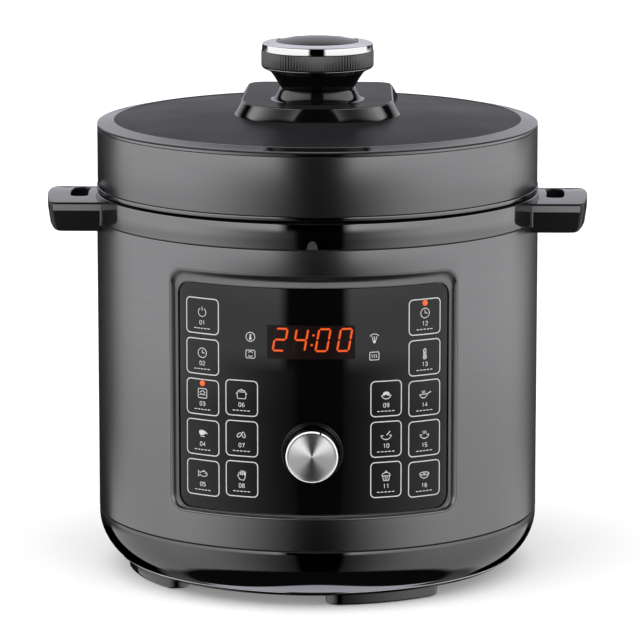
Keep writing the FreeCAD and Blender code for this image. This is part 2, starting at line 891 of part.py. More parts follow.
def make_inner_housing():
    t = housing_wall
    low = housing_floor
    cone_low = low + housing_cone_low
    cone_high = low + housing_cone_high
    flange = ring_bottom
    inside = [
        (housing_hole_radius, low),
        (housing_floor_radius, low),
        (housing_floor_radius, cone_low),
        (housing_radius, cone_high),
        (housing_radius, shelf_top),
        (housing_upper_radius, shelf_top),
        (housing_upper_radius, flange),
        (ring_outer_radius, flange),
    ]
    outside = [
        (ring_outer_radius, flange - t),
        (housing_upper_radius + t, flange - t),
        (housing_upper_radius + t, shelf_top - t),
        (housing_radius + t, shelf_top - t),
        (housing_radius + t, cone_high),
        (housing_floor_radius + t, cone_low),
        (housing_floor_radius + t, low - t),
        (housing_hole_radius, low - t),
    ]
    liner = turned(inside + outside)
    for index in range(tooth_count):
        hole = disc(ring_screw_radius + fit, flange - t - 1, flange + 1, ring_screw_circle, 0)
        liner = liner.cut(spun(hole, index * pitch_angle))
    for side in (-1, 1):
        hole = disc(terminal_radius + 1.0, low - t - 1, low + 1, side * terminal_spacing, element_radius)
        liner = liner.cut(hole)
    return liner


def make_locking_ring():
    ring = tube(ring_gap_radius, ring_outer_radius, ring_bottom, ring_top)
    tooth = sector([
        (tooth_inner_radius, ring_bottom),
        (ring_gap_radius + 1, ring_bottom),
        (ring_gap_radius + 1, ring_top),
        (tooth_inner_radius, ring_top),
    ], 0.5 * tooth_width)
    for index in range(tooth_count):
        ring = ring.fuse(spun(tooth, index * pitch_angle))
    ring = ring.removeSplitter()
    for index in range(tooth_count):
        hole = disc(ring_screw_radius + fit, ring_bottom - 1, ring_top + 1, ring_screw_circle, 0)
        ring = ring.cut(spun(hole, index * pitch_angle))
    return ring


def make_ring_screws():
    one = screw(ring_screw_radius, ring_screw_length, 1.6)
    one = moved(one, ring_screw_circle, 0, ring_bottom - housing_wall)
    return group(ring_of(one, [index * pitch_angle for index in range(tooth_count)]))


def element_ring():
    return Part.makeTorus(element_radius, element_tube_radius, Vector(0, 0, plate_bottom - element_sunk))


def make_heating_plate():
    plate = tube(plate_hole_radius, plate_radius, plate_bottom, plate_top)

    def top_rim(edge):
        box = edge.BoundBox
        return abs(box.ZMin - plate_top) < 0.01 and box.XMax > 0.9 * plate_radius

    plate = rounded(plate, 2.0, top_rim)
    return plate.cut(element_ring())


def make_heating_element():
    ring = element_ring()
    for side in (-1, 1):
        low = plate_bottom - element_sunk - terminal_length
        ring = ring.fuse(disc(terminal_radius, low, plate_bottom - element_sunk, side * terminal_spacing,
                              element_radius))
    return ring


def make_plate_supports():
    post = disc(support_radius, housing_floor, plate_bottom, support_circle, 0)
    return group(ring_of(post, (30, 150, 270)))


def make_sensor_housing():
    low = housing_floor
    flange = disc(sensor_flange_radius, low, low + sensor_flange_thickness)
    outer = sensor_radius + play + sensor_wall
    body = flange.fuse(disc(outer, low, low + sensor_tube_height))
    return body.cut(disc(sensor_radius + play, low + sensor_flange_thickness, low + sensor_tube_height + 1))


def make_sensor_cap():
    top = plate_top
    cap = disc(sensor_radius, top - sensor_cap_height, top)
    cap = cap.cut(disc(sensor_radius - 1.0, top - sensor_cap_height - 1, top - 1.2))
    probe = disc(3.0, top - sensor_cap_height + 2, top - 1.2)
    return cap.fuse(probe).removeSplitter()


def make_sensor_spring():
    return coil(sensor_spring_radius, sensor_spring_wire, housing_floor + sensor_flange_thickness,
                plate_top - 1.2, sensor_spring_turns)


def make_pressure_switch():
    top = housing_floor - housing_wall
    can = disc(11.0, top - 14.0, top, 55.0, 0)
    tab = block(49.0, 61.0, -2.0, 2.0, top - 20.0, top - 14.0)
    return can.fuse(tab).removeSplitter()


def make_thermal_fuse():
    top = housing_floor - housing_wall
    saddle = block(-4.0, 4.0, 44.0, 66.0, top - 3.0, top)
    barrel = rod_y(3.0, 42.0, 68.0, 0, top - 4.0)
    return saddle.fuse(barrel).removeSplitter()


def make_power_board():
    half = power_board_half_width
    top = power_board_low + board_thickness
    board = block(-half, half, -power_board_front, -power_board_back, power_board_low, top)
    part_front = -power_board_front + part_margin
    relay = block(-half + 1.3 * part_margin, -half + 1.3 * part_margin + relay_width,
                  part_front, part_front + relay_depth, top, top + relay_height)
    transformer = block(half - 2.4 * part_margin - transformer_width, half - 2.4 * part_margin,
                        part_front, part_front + transformer_depth, top, top + transformer_height)
    middle = -0.5 * (power_board_front + power_board_back)
    capacitor = disc(capacitor_radius, top, top + capacitor_height, -capacitor_radius, middle)
    terminals_back = -power_board_back - 0.7 * part_margin
    terminals = block(-half + 1.7 * part_margin, half - 1.7 * part_margin,
                      terminals_back - terminals_depth, terminals_back, top, top + terminals_height)
    for piece in (relay, transformer, capacitor, terminals):
        board = board.fuse(piece)
    return board.removeSplitter()


# ================================================================ rear fittings
def make_inlet_socket():
    corner = inlet_corner
    flange = block(-inlet_half_width, inlet_half_width, deep_radius, inlet_reach,
                   inlet_z - inlet_half_height, inlet_z + inlet_half_height)

    def along_y(edge):
        span = edge.BoundBox
        return span.YLength > 10 and span.XLength < 0.01 and span.ZLength < 0.01

    flange = rounded(flange, corner, along_y)
    flange = flange.cut(disc(body_radius + fit, inlet_z - 30, inlet_z + 30))
    wide = socket_half_width + inlet_body_wall
    tall = socket_half_height + inlet_body_wall
    body = block(-wide, wide, inlet_body_back, inlet_reach - 0.5, inlet_z - tall, inlet_z + tall)
    socket = flange.fuse(body)
    recess = block(-socket_half_width, socket_half_width, socket_bottom, inlet_reach + 5,
                   inlet_z - socket_half_height, inlet_z + socket_half_height)
    recess = recess.makeChamfer(3.0, [edge for edge in recess.Edges
                                      if along_y(edge) and edge.Vertexes[0].Z > inlet_z])
    socket = socket.cut(recess)
    for x, z in ((-pin_spacing, -1.5), (0.0, 2.0), (pin_spacing, -1.5)):
        pin = block(x - 0.5 * pin_width, x + 0.5 * pin_width, socket_bottom - 1, socket_bottom + pin_length,
                    inlet_z + z - 0.5 * pin_height, inlet_z + z + 0.5 * pin_height)
        socket = socket.fuse(pin)
    for side in (-1, 1):
        x = side * 0.5 * inlet_screw_spacing
        socket = socket.cut(rod_y(inlet_screw_radius, deep_radius, inlet_reach + 5, x, inlet_z))
        sink_floor = inlet_reach - inlet_screw_sink
        sink = rod_y(2 * inlet_screw_radius + fit, sink_floor, inlet_reach + 5, x, inlet_z)
        socket = socket.cut(sink)
    return socket.removeSplitter()


def make_inlet_screws():
    screws = []
    for side in (-1, 1):
        one = screw(inlet_screw_radius, inlet_screw_length, inlet_screw_head)
        one.rotate(Vector(0, 0, 0), Vector(1, 0, 0), 90.0)
        screws.append(moved(one, side * 0.5 * inlet_screw_spacing, inlet_reach - inlet_screw_sink, inlet_z))
    return group(screws)


def make_cup_bracket():
    outer = block(-pocket_half_width, pocket_half_width, pocket_back, body_radius, pocket_low, pocket_high)
    flange = block(-pocket_half_width - 3.0, pocket_half_width + 3.0, deep_radius, body_radius + 1.6,
                   pocket_low - 3.0, pocket_high + 3.0)
    flange = flange.common(tube(body_radius + fit, body_radius + 1.6, pocket_low - 3.0, pocket_high + 3.0))
    solid = outer.common(disc(body_radius + 1.6, pocket_low, pocket_high)).fuse(flange)
    inside = block(-pocket_half_width + pocket_wall, pocket_half_width - pocket_wall,
                   pocket_back + pocket_wall, body_radius + 10,
                   pocket_low + pocket_wall, pocket_high - pocket_wall)
    solid = solid.cut(inside)
    drip = tube(drip_radius - 1.2, drip_radius, pocket_high - 3.0, pocket_high + 2.0, 0, drip_y)
    bore = disc(drip_radius - 1.2, pocket_high - 4.0, pocket_high + 3.0, 0, drip_y)
    return solid.fuse(drip).cut(bore).removeSplitter()


def make_condensation_cup():
    cup = block(-cup_half_width, cup_half_width, cup_front, cup_reach, cup_low, cup_low + cup_height)

    def outer_corner(edge):
        return upright(edge) and edge.Vertexes[0].Y > body_radius

    cup = rounded(cup, cup_corner, outer_corner)
    inside = block(-cup_half_width + cup_wall, cup_half_width - cup_wall, cup_front + cup_wall,
                   cup_reach - cup_wall, cup_low + cup_wall, cup_low + cup_height + 1)
    inside = rounded(inside, cup_corner - cup_wall, outer_corner)
    return cup.cut(inside)


# ================================================================ lid
def dome_z(radius):
    """Height of the lid's domed top at a radius."""
    rim = body_radius - crest_inset
    return crest_top - crest_step + dome_rise * (1.0 - (radius / rim) ** 2)


def dome_solid(low, lift):
    """Everything between a low level and the lid's domed top, lifted by a distance."""
    rim = body_radius - crest_inset
    half_chord = rim
    ball_radius = (half_chord ** 2 + dome_rise ** 2) / (2.0 * dome_rise)
    top = crest_top - crest_step + dome_rise + lift
    ball = Part.makeSphere(ball_radius, Vector(0, 0, top - ball_radius), Vector(0, 0, 1), 60, 90)
    return disc(rim, low, top + 5).common(ball)


def make_lid_cover():
    rim = body_radius - crest_inset
    low = band_top + hatch_gap
    outline = turned([
        (0, low),
        (body_radius, low),
        (body_radius, edge_top),
        (rim + 0.8, crest_top),
        (rim, crest_top),
        (rim - 0.8, crest_top - crest_step),
        (0, crest_top - crest_step),
    ])
    cover = outline.fuse(dome_solid(low, 0.0).common(disc(rim - 0.9, low, crest_top + 20)))
    hollow = disc(body_radius - cover_wall, low - 1, edge_top - cover_wall - 0.4)
    raised = dome_solid(low - 1, -cover_wall).common(disc(rim - 2.0, low - 1, crest_top + 20))
    cover = cover.cut(hollow.fuse(raised))
    skirt_low = low - 6.0
    skirt = tube(spigot_radius - spigot_wall, spigot_radius, skirt_low, low + 1.0)
    cover = cover.fuse(skirt)
    boss = disc(boss_radius, lid_bottom + lid_base_thickness, dome_z(boss_circle) - 1.0, boss_circle, 0)
    for azimuth in (45, 135, 225, 315):
        cover = cover.fuse(spun(boss, azimuth))
    bore = disc(lid_screw_radius, lid_bottom, lid_bottom + lid_screw_length + 2, boss_circle, 0)
    for azimuth in (45, 135, 225, 315):
        cover = cover.cut(spun(bore, azimuth))
    notch = sector([
        (notch_inner_radius, crest_top - notch_depth),
        (notch_outer_radius, edge_top + 0.6 - notch_depth),
        (notch_outer_radius, crest_top + 5),
        (notch_inner_radius, crest_top + 5),
    ], notch_half_angle)
    cover = cover.cut(notch)
    cover = cover.cut(disc(bush_radius + 2.0, low - 20, crest_top + 20))
    port = block(-vent_half_width + 3, vent_half_width - 3, vent_center - vent_half_depth,
                 vent_center + vent_half_depth, low, crest_top + 20)
    return cover.cut(port).removeSplitter()


def make_lid_band():
    return tube(skin_inside, body_radius, band_bottom + hatch_gap, band_top)


def make_lid_base():
    plate = disc(body_radius, lid_bottom, lid_bottom + lid_base_thickness)
    edge = tube(skin_inside - 4.0, body_radius, lid_bottom, band_bottom)
    spigot = tube(spigot_radius - spigot_wall, spigot_radius, lid_bottom, band_bottom + 5.0)
    base = plate.fuse(edge).fuse(spigot).removeSplitter()

    def bottom_edge(e):
        box = e.BoundBox
        return box.ZMax < lid_bottom + 0.01 and box.XMax > body_radius - 0.1

    base = rounded(base, 1.0, bottom_edge)
    base = base.cut(disc(lid_base_hole_radius, lid_bottom - 1, lid_bottom + 10))
    hole = disc(lid_screw_radius + fit, lid_bottom - 1, lid_bottom + 10, boss_circle, 0)
    head = disc(2 * lid_screw_radius + fit, lid_bottom - 1, lid_bottom + 0.9, boss_circle, 0)
    for azimuth in (45, 135, 225, 315):
        base = base.cut(spun(hole, azimuth))
        base = base.cut(spun(head, azimuth))
    vent = disc(3.0, lid_bottom - 1, lid_bottom + 10, 30.0, 0)
    for azimuth in (0, 60, 120, 180, 240, 300):
        base = base.cut(spun(vent, azimuth))
    return base


def make_lid_screws():
    one = screw(lid_screw_radius, lid_screw_length, 0.9)
    one = moved(one, boss_circle, 0, lid_bottom + 0.9)
    return group(ring_of(one, (45, 135, 225, 315)))


def pedestal_outline(z, half_width, front, back, taper, front_corner, back_corner):
    """Tongue-shaped outline at a height: a round front and a slightly narrower back."""
    wide = half_width
    narrow = half_width - taper
    c = front_corner
    b = back_corner
    s = math.sqrt(0.5)
    points = [
        Vector(-wide, -front + c, z),
        Vector(-wide + c * (1 - s), -front + c * (1 - s), z),
        Vector(-wide + c, -front, z),
        Vector(wide - c, -front, z),
        Vector(wide - c * (1 - s), -front + c * (1 - s), z),
        Vector(wide, -front + c, z),
        Vector(narrow, back - b, z),
        Vector(narrow - b * (1 - s), back - b * (1 - s), z),
        Vector(narrow - b, back, z),
        Vector(-narrow + b, back, z),
        Vector(-narrow + b * (1 - s), back - b * (1 - s), z),
        Vector(-narrow, back - b, z),
    ]
    edges = [
        Part.Arc(points[0], points[1], points[2]).toShape(),
        Part.makeLine(points[2], points[3]),
        Part.Arc(points[3], points[4], points[5]).toShape(),
        Part.makeLine(points[5], points[6]),
        Part.Arc(points[6], points[7], points[8]).toShape(),
        Part.makeLine(points[8], points[9]),
        Part.Arc(points[9], points[10], points[11]).toShape(),
        Part.makeLine(points[11], points[0]),
    ]
    return Part.Wire(edges)


def pedestal_loft(inset, top_z):
    """Flared block of the pedestal, drawn in by an inset."""
    low = crest_top - 6.0
    foot_z = dome_z(50.0)
    scale = (foot_z - low) / (top_z - foot_z)
    flare = pedestal_flare * (1.0 + scale)
    front_flare = pedestal_front_flare * (1.0 + scale)
    corner = pedestal_foot_corner + (pedestal_foot_corner - pedestal_front_corner) * scale
    lower = pedestal_outline(low, pedestal_half_width + flare - inset, pedestal_front + front_flare - inset,
                             pedestal_back + front_flare - inset, pedestal_back_taper,
                             max(corner, 12.0) - 0.5 * inset, pedestal_back_corner + 2.0 - 0.5 * inset)
    upper = pedestal_outline(top_z, pedestal_half_width - inset, pedestal_front - inset,
                             pedestal_back - inset, pedestal_back_taper,
                             pedestal_front_corner - inset, pedestal_back_corner - 0.5 * inset)
    return Part.makeLoft([lower, upper], True, True)


def make_pedestal():
    top_z = neck_foot
    solid = pedestal_loft(0.0, top_z)
    solid = solid.cut(dome_solid(crest_top - 20, 0.0))

    def top_rim(edge):
        return edge.BoundBox.ZMin > top_z - 0.01

    solid = rounded(solid.Solids[0], 0.8, top_rim)
    hollow = pedestal_loft(pedestal_wall, top_z - pedestal_wall)
    solid = solid.cut(hollow)
    top_of_neck = neck_top
    start = Vector(neck_foot_radius, 0, top_z - 0.5)
    middle = Vector(neck_radius + 1.6, 0, top_z + 0.32 * neck_height)
    end = Vector(neck_radius, 0, top_of_neck)
    curve = Part.Arc(start, middle, end).toShape()
    low = dome_z(0) + 0.1
    lines = [
        Part.makeLine(end, Vector(0, 0, top_of_neck)),
        Part.makeLine(Vector(0, 0, top_of_neck), Vector(0, 0, low)),
        Part.makeLine(Vector(0, 0, low), Vector(neck_foot_radius - 8, 0, low)),
        Part.makeLine(Vector(neck_foot_radius - 8, 0, low), Vector(neck_foot_radius - 8, 0, top_z - 2.0)),
        Part.makeLine(Vector(neck_foot_radius - 8, 0, top_z - 2.0), Vector(neck_foot_radius, 0, top_z - 2.0)),
        Part.makeLine(Vector(neck_foot_radius, 0, top_z - 2.0), start),
    ]
    face = Part.Face(Part.Wire(Part.__sortEdges__([curve] + lines)))
    neck = face.revolve(Vector(0, 0, 0), Vector(0, 0, 1), 360)
    solid = solid.fuse(neck)
    solid = solid.cut(disc(bush_radius + flush, crest_top - 20, top_of_neck + 1))
    opening = block(-vent_half_width, vent_half_width, vent_center - vent_half_depth,
                    vent_center + vent_half_depth, top_z - 10, top_z + 5)
    solid = solid.cut(rounded(opening, 3.0, upright))
    return solid.removeSplitter()


def make_steam_outlet():
    top_z = neck_foot
    frame = block(-vent_half_width + fit, vent_half_width - fit, vent_center - vent_half_depth + fit,
                  vent_center + vent_half_depth - fit, top_z - pedestal_wall, top_z + 0.4)
    frame = rounded(frame, 2.9, upright)
    lip = block(-vent_half_width - 1.5, vent_half_width + 1.5, vent_center - vent_half_depth - 1.5,
                vent_center + vent_half_depth + 1.5, top_z - pedestal_wall - 1.2, top_z - pedestal_wall)
    grille = frame.fuse(lip)
    pitch = (2 * vent_half_width - 2 * vent_rim) / vent_slot_count
    reach = vent_half_depth - vent_rim
    for index in range(vent_slot_count):
        x = -vent_half_width + vent_rim + (index + 0.5) * pitch
        slot = block(x - 0.5 * vent_slot_width, x + 0.5 * vent_slot_width, vent_center - reach,
                     vent_center + reach, top_z - 12, top_z + 5)
        grille = grille.cut(slot)
    return grille.removeSplitter()


def make_spindle_bush():
    return tube(spindle_radius + play, bush_radius, lid_bottom + lid_base_thickness + 3.0, neck_top)


# ================================================================ lock
def make_knob_body():
    core = knob_core_radius - flush
    floor = knob_floor_top
    lip = 0.9
    profile = [
        (spindle_radius, knob_bottom),
        (knob_foot_radius, knob_bottom),
        (knob_waist_radius, knob_bottom + knob_waist_height),
        (knob_shoulder_radius, knob_bottom + knob_shoulder_height),
        (grip_radius - 0.9, grip_bottom - lip),
        (grip_radius - 0.3, grip_bottom),
        (core, grip_bottom),
        (core, chrome_top - 2.2),
        (core - 2.4, chrome_top - 2.2),
        (core - 2.4, floor),
        (button_stem_radius + play, floor),
        (button_stem_radius + play, spindle_top),
        (spindle_radius, spindle_top),
    ]
    body = turned(profile)
    pocket = turned([
        (hub_radius, knob_bottom + 3.0),
        (knob_foot_radius - 3.0, knob_bottom + 3.0),
        (knob_waist_radius - 3.0, knob_bottom + knob_waist_height),
        (knob_waist_radius - 3.0, floor - knob_floor_thickness),
        (hub_radius, floor - knob_floor_thickness),
    ])
    return body.cut(pocket)


def make_grip_ring():
    low = grip_bottom + 0.05
    high = grip_bottom + grip_height
    points = []
    for index in range(2 * grip_teeth):
        radius = grip_radius if index % 2 == 0 else grip_radius - grip_groove
        points.append(at(radius, index * 180.0 / grip_teeth, low))
    outline = Part.Face(Part.makePolygon(points + [points[0]]))
    solid = outline.extrude(Vector(0, 0, high - low))
    return solid.cut(disc(knob_core_radius, low - 1, high + 1))


def make_chrome_ring():
    inner = button_radius + 0.4
    return turned([
        (knob_core_radius, chrome_bottom),
        (chrome_radius, chrome_bottom),
        (chrome_radius, chrome_top - chrome_bevel),
        (chrome_radius - chrome_bevel, chrome_top),
        (inner, chrome_top + 0.5),
        (inner, chrome_top - 1.9),
        (knob_core_radius, chrome_top - 2.1),
    ])


def make_spindle():
    shaft = disc(spindle_radius, plate_under - nut_height, spindle_top)
    flange = disc(spindle_flange_radius, plate_over, spindle_shoulder)
    shaft = shaft.fuse(flange).removeSplitter()
    shaft = shaft.cut(disc(spindle_bore, plate_under - nut_height - 1, spindle_top + 1))
    side = Vector(-spindle_radius - 2, 0, spindle_shoulder + 12)
    port = Part.makeCylinder(2.2, 2 * spindle_radius + 4, side, Vector(1, 0, 0))
    return shaft.cut(port)


def make_inner_lid():
    low = tooth_bottom
    t = inner_lid_thickness
    p = inner_plate_thickness
    profile = [
        (spindle_radius + flush, plate_under),
        (inner_lid_dish, plate_under),
        (inner_lid_land, low),
        (inner_lid_radius, low),
        (inner_lid_radius, low + t),
        (inner_lid_land + 1.6, low + t),
        (inner_lid_dish + 1.4, plate_over),
        (spindle_radius + flush, plate_over),
    ]
    lid = turned(profile)
    tooth = sector([
        (inner_lid_radius - 1, low),
        (lid_tooth_radius, low),
        (lid_tooth_radius, low + t),
        (inner_lid_radius - 1, low + t),
    ], 0.5 * tooth_width, 0.5 * pitch_angle)
    for index in range(tooth_count):
        lid = lid.fuse(spun(tooth, index * pitch_angle))
    lid = lid.removeSplitter()
    place = at(float_circle, float_azimuth)
    return lid.cut(disc(float_radius + play, plate_under - 1, plate_over + 1, place.x, place.y))


def make_gasket():
    low = pot_rim + run
    high = tooth_bottom
    return turned([
        (gasket_inner_radius + 0.6, low + gasket_lip),
        (gasket_inner_radius, low),
        (gasket_inner_radius + 2.2, low),
        (gasket_inner_radius + 3.4, low + 1.5),
        (pot_flange_radius - 2.4, low + 1.5),
        (pot_flange_radius - 1.6, low),
        (pot_flange_radius, low),
        (pot_flange_radius, high),
        (gasket_inner_radius + 0.6, high),
    ])


def make_gasket_retainer():
    outer = gasket_inner_radius - retainer_gap
    low = pot_rim + run + 0.6
    return tube(outer - retainer_wall, outer, low, tooth_bottom)


def make_spindle_nut():
    low = plate_under - nut_height
    nut = tube(spindle_radius + flush, nut_radius, low, plate_under)
    seat = tube(spindle_bore, nut_radius, low - 2.0, low)
    return nut.fuse(seat).removeSplitter()


def make_valve_guard():
    low = plate_under - guard_height
    guard = disc(guard_radius, low, plate_under)
    guard = guard.cut(disc(guard_radius - guard_wall, low + guard_wall, plate_under + 1))
    slot = block(guard_radius - 5, guard_radius + 2, -0.5 * guard_slot_width, 0.5 * guard_slot_width,
                 low + 2.5, plate_under - 3.5)
    for index in range(guard_slot_count):
        guard = guard.cut(spun(slot, index * 360.0 / guard_slot_count))
    return guard


# ================================================================ vent button, float
def make_vent_button():
    edge = chrome_top
    ball_radius = (button_radius ** 2 + button_dome ** 2) / (2.0 * button_dome)
    ball = Part.makeSphere(ball_radius, Vector(0, 0, button_top - ball_radius), Vector(0, 0, 1), 60, 90)
    cap = disc(button_radius, button_under, button_top + 1).common(ball.fuse(
        disc(button_radius, button_under, edge)))
    hollow = tube(button_stem_radius + 5.0, button_radius - 1.8, button_under - 1, edge - 0.6)
    cap = cap.cut(hollow)
    stem = disc(button_stem_radius, spindle_top + button_stroke + 0.6, button_under + 1)
    button = cap.fuse(stem).removeSplitter()
    return button.cut(disc(rod_radius, spindle_top, button_under))


def make_vent_rod():
    seat = plate_under - nut_height - 2.0
    rod = disc(rod_radius, seat - 1, button_under)
    plug_top = seat - 0.1
    foot_top = plug_top - plug_height + 1.0
    plug = Part.makeCone(plug_radius, spindle_bore - 0.6, plug_top - foot_top, Vector(0, 0, foot_top))
    foot = disc(plug_radius, plug_top - plug_height, foot_top)
    return rod.fuse(plug).fuse(foot).removeSplitter()


def make_vent_spring():
    return coil(vent_spring_radius, spring_wire, knob_floor_top, button_under, vent_spring_turns)


def make_float_pin():
    place = at(float_circle, float_azimuth)
    head_top = plate_under - float_stroke - run - float_seal_height
    head = disc(float_head_radius, head_top - float_head_height, head_top, place.x, place.y)
    cap_low = plate_over + run
    stem = disc(float_radius, head_top, cap_low + float_cap_height, place.x, place.y)
    cap = disc(float_cap_radius, cap_low, cap_low + float_cap_height, place.x, place.y)
    return head.fuse(stem).fuse(cap).removeSplitter()


def make_float_seal():
    place = at(float_circle, float_azimuth)
    low = plate_under - float_stroke - run - float_seal_height
    return tube(float_radius + flush, float_head_radius, low, low + float_seal_height, place.x, place.y)


# ================================================================ derived places used above
pocket_half_width = cup_half_width + run + pocket_wall
pocket_low = cup_low - run - pocket_wall
pocket_high = cup_low + cup_height + 2.2 + pocket_wall
pocket_back = cup_front - run - pocket_wall
drip_y = pocket_back + 5.5
handle_screw_z = 0.5 * (ring_top + collar_top) + 0.4
handle_head_x = housing_upper_radius + 1.8
board_low = panel_low + board_margin
board_high = panel_high - board_margin
post_heights = (panel_low + board_post_inset, panel_high - board_post_inset)
board_posts = [(side * board_post_spread, z) for side in (-1, 1) for z in post_heights]
power_board_low = base_bottom + base_cover_thickness + standoff_height
standoff_x = power_board_half_width - standoff_inset
board_standoffs = []
for y in (-power_board_front + standoff_inset, -power_board_back - standoff_inset):
    board_standoffs += [(-standoff_x, y), (standoff_x, y)]

nodes = {
    "base_shell": make_base_shell,
    "base_cover": make_base_cover,
    "base_screws": make_base_screws,
    "feet": make_feet,
    "foot_pads": make_foot_pads,
    "outer_shell": make_outer_shell,
    "collar": make_collar,
    "handle_right": make_handle_right,
    "handle_left": lambda: make_handle_right().mirror(Vector(0, 0, 0), Vector(1, 0, 0)),
    "handle_screws": make_handle_screws,
    "panel_bezel": make_panel_bezel,
    "control_panel": make_control_panel,
    "touch_board": make_touch_board,
    "indicator_lights": make_indicator_lights,
    "display_module": make_display_module,
    "control_board": make_control_board,
    "encoder_body": make_encoder_body,
    "encoder_shaft": make_encoder_shaft,
    "dial_surround": make_dial_surround,
    "dial_knob": make_dial_knob,
    "dial_face": make_dial_face,
    "inner_pot": make_inner_pot,
    "inner_housing": make_inner_housing,
    "locking_ring": make_locking_ring,
    "ring_screws": make_ring_screws,
    "heating_plate": make_heating_plate,
    "heating_element": make_heating_element,
    "plate_supports": make_plate_supports,
    "sensor_housing": make_sensor_housing,
    "sensor_cap": make_sensor_cap,
    "sensor_spring": make_sensor_spring,
    "pressure_switch": make_pressure_switch,
    "thermal_fuse": make_thermal_fuse,
    "power_board": make_power_board,
    "inlet_socket": make_inlet_socket,
    "inlet_screws": make_inlet_screws,
    "cup_bracket": make_cup_bracket,
    "condensation_cup": make_condensation_cup,
    "lid_cover": make_lid_cover,
    "lid_band": make_lid_band,
    "lid_base": make_lid_base,
    "lid_screws": make_lid_screws,
    "pedestal": make_pedestal,
    "steam_outlet": make_steam_outlet,
    "spindle_bush": make_spindle_bush,
    "knob_body": make_knob_body,
    "grip_ring": make_grip_ring,
    "chrome_ring": make_chrome_ring,
    "spindle": make_spindle,
    "inner_lid": make_inner_lid,
    "gasket": make_gasket,
    "gasket_retainer": make_gasket_retainer,
    "spindle_nut": make_spindle_nut,
    "valve_guard": make_valve_guard,
    "vent_button": make_vent_button,
    "vent_rod": make_vent_rod,
    "vent_spring": make_vent_spring,
    "float_pin": make_float_pin,
    "float_seal": make_float_seal,
}

os.makedirs("parts", exist_ok=True)
for name, make in nodes.items():
    shape = make()
    shape.exportStep("parts/" + name + ".step")
    print(name, len(shape.Solids), "valid" if shape.isValid() else "INVALID", round(shape.Volume, 1))
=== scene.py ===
import json
import math

import bmesh
import bpy
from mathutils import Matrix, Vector


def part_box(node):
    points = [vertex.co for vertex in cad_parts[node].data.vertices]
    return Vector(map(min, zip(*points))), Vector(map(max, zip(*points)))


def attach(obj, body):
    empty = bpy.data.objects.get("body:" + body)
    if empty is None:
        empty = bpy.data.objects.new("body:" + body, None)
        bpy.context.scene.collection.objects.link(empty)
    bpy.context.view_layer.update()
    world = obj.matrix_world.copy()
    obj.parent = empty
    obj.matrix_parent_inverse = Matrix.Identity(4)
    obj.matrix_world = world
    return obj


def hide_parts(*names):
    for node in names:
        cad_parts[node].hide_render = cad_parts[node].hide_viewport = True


# Looks of the electric pressure cooker round its CAD frame. Shapes are in millimetres.
# Angles are in degrees, except where a helper says radians; they run from the front (-Y)
# towards +X.
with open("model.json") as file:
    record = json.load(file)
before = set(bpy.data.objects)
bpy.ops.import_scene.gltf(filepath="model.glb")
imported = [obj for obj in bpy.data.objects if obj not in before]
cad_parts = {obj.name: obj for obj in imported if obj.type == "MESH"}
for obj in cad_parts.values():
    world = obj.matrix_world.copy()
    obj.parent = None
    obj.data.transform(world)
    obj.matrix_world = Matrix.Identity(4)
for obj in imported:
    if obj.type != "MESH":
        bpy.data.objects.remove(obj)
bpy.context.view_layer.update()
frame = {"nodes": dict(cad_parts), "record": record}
scene = bpy.context.scene
nodes = frame["nodes"]

MM = 0.001
BODY_R = 135.0          # shell, collar and lid band
PANEL_R = 132.5         # front of the touch panel
MERGE = 1e-7            # points closer than this, in metres, are one
SMOOTH = 35.0           # edges that turn more than this stay sharp


# --- mesh helpers
def link(obj):
    scene.collection.objects.link(obj)
    return obj


def mesh_of(name, verts, faces, merge=False):
    """A mesh from millimetre vertices, its faces turned outwards."""
    mesh = bpy.data.meshes.new(name)
    mesh.from_pydata([(x * MM, y * MM, z * MM) for x, y, z in verts], [], faces)
    bm = bmesh.new()
    bm.from_mesh(mesh)
    if merge:
        bmesh.ops.remove_doubles(bm, verts=bm.verts, dist=MERGE)
    bmesh.ops.recalc_face_normals(bm, faces=bm.faces)
    bm.to_mesh(mesh)
    bm.free()
    return mesh


def dress(obj, body, material, smooth, replaces):
    """Shading, finish and body of a piece, and the CAD nodes that it stands for."""
    mesh = obj.data
    mesh.polygons.foreach_set("use_smooth", [True] * len(mesh.polygons))
    mesh.set_sharp_from_angle(angle=math.radians(smooth))
    mesh.materials.append(material)
    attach(obj, body)
    if replaces:
        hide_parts(*replaces)
    return obj


def piece(name, verts, faces, body, material, slot, smooth=SMOOTH, replaces=(), location=(0, 0, 0)):
    """A mesh piece that rides on a CAD body."""
    obj = link(bpy.data.objects.new(name, mesh_of(name, verts, faces, True)))
    obj.location = location
    return dress(obj, body, material, smooth, replaces)


def paint(obj, finishes_and_painted_light, choose):
    """Adds finishes, painted highlights and painted shade; choose(x, y, z, face) numbers the one for a face
    from its middle in mm, or 0.
    """
    for finish in finishes_and_painted_light:
        obj.data.materials.append(finish)
    for face in obj.data.polygons:
        face.material_index = int(choose(*(face.center / MM), face))


def cut_out(obj, verts, faces):
    """Cuts a closed block from a mesh for good."""
    cutter = link(bpy.data.objects.new("cutter", mesh_of("cutter", verts, faces)))
    mod = obj.modifiers.new("cut", "BOOLEAN")
    mod.object = cutter
    mod.solver = "EXACT"
    bpy.context.view_layer.update()
    graph = bpy.context.evaluated_depsgraph_get()
    mesh = bpy.data.meshes.new_from_object(obj.evaluated_get(graph))
    obj.modifiers.clear()
    obj.data = mesh
    bpy.data.objects.remove(cutter)


def at(radius, angle):
    """Place on a circle about the body's axis, by the angle in radians."""
    return radius * math.sin(angle), -radius * math.cos(angle)


def turn(step, count):
    """Angle of one step of a full turn, in radians."""
    return 2 * math.pi * step / count


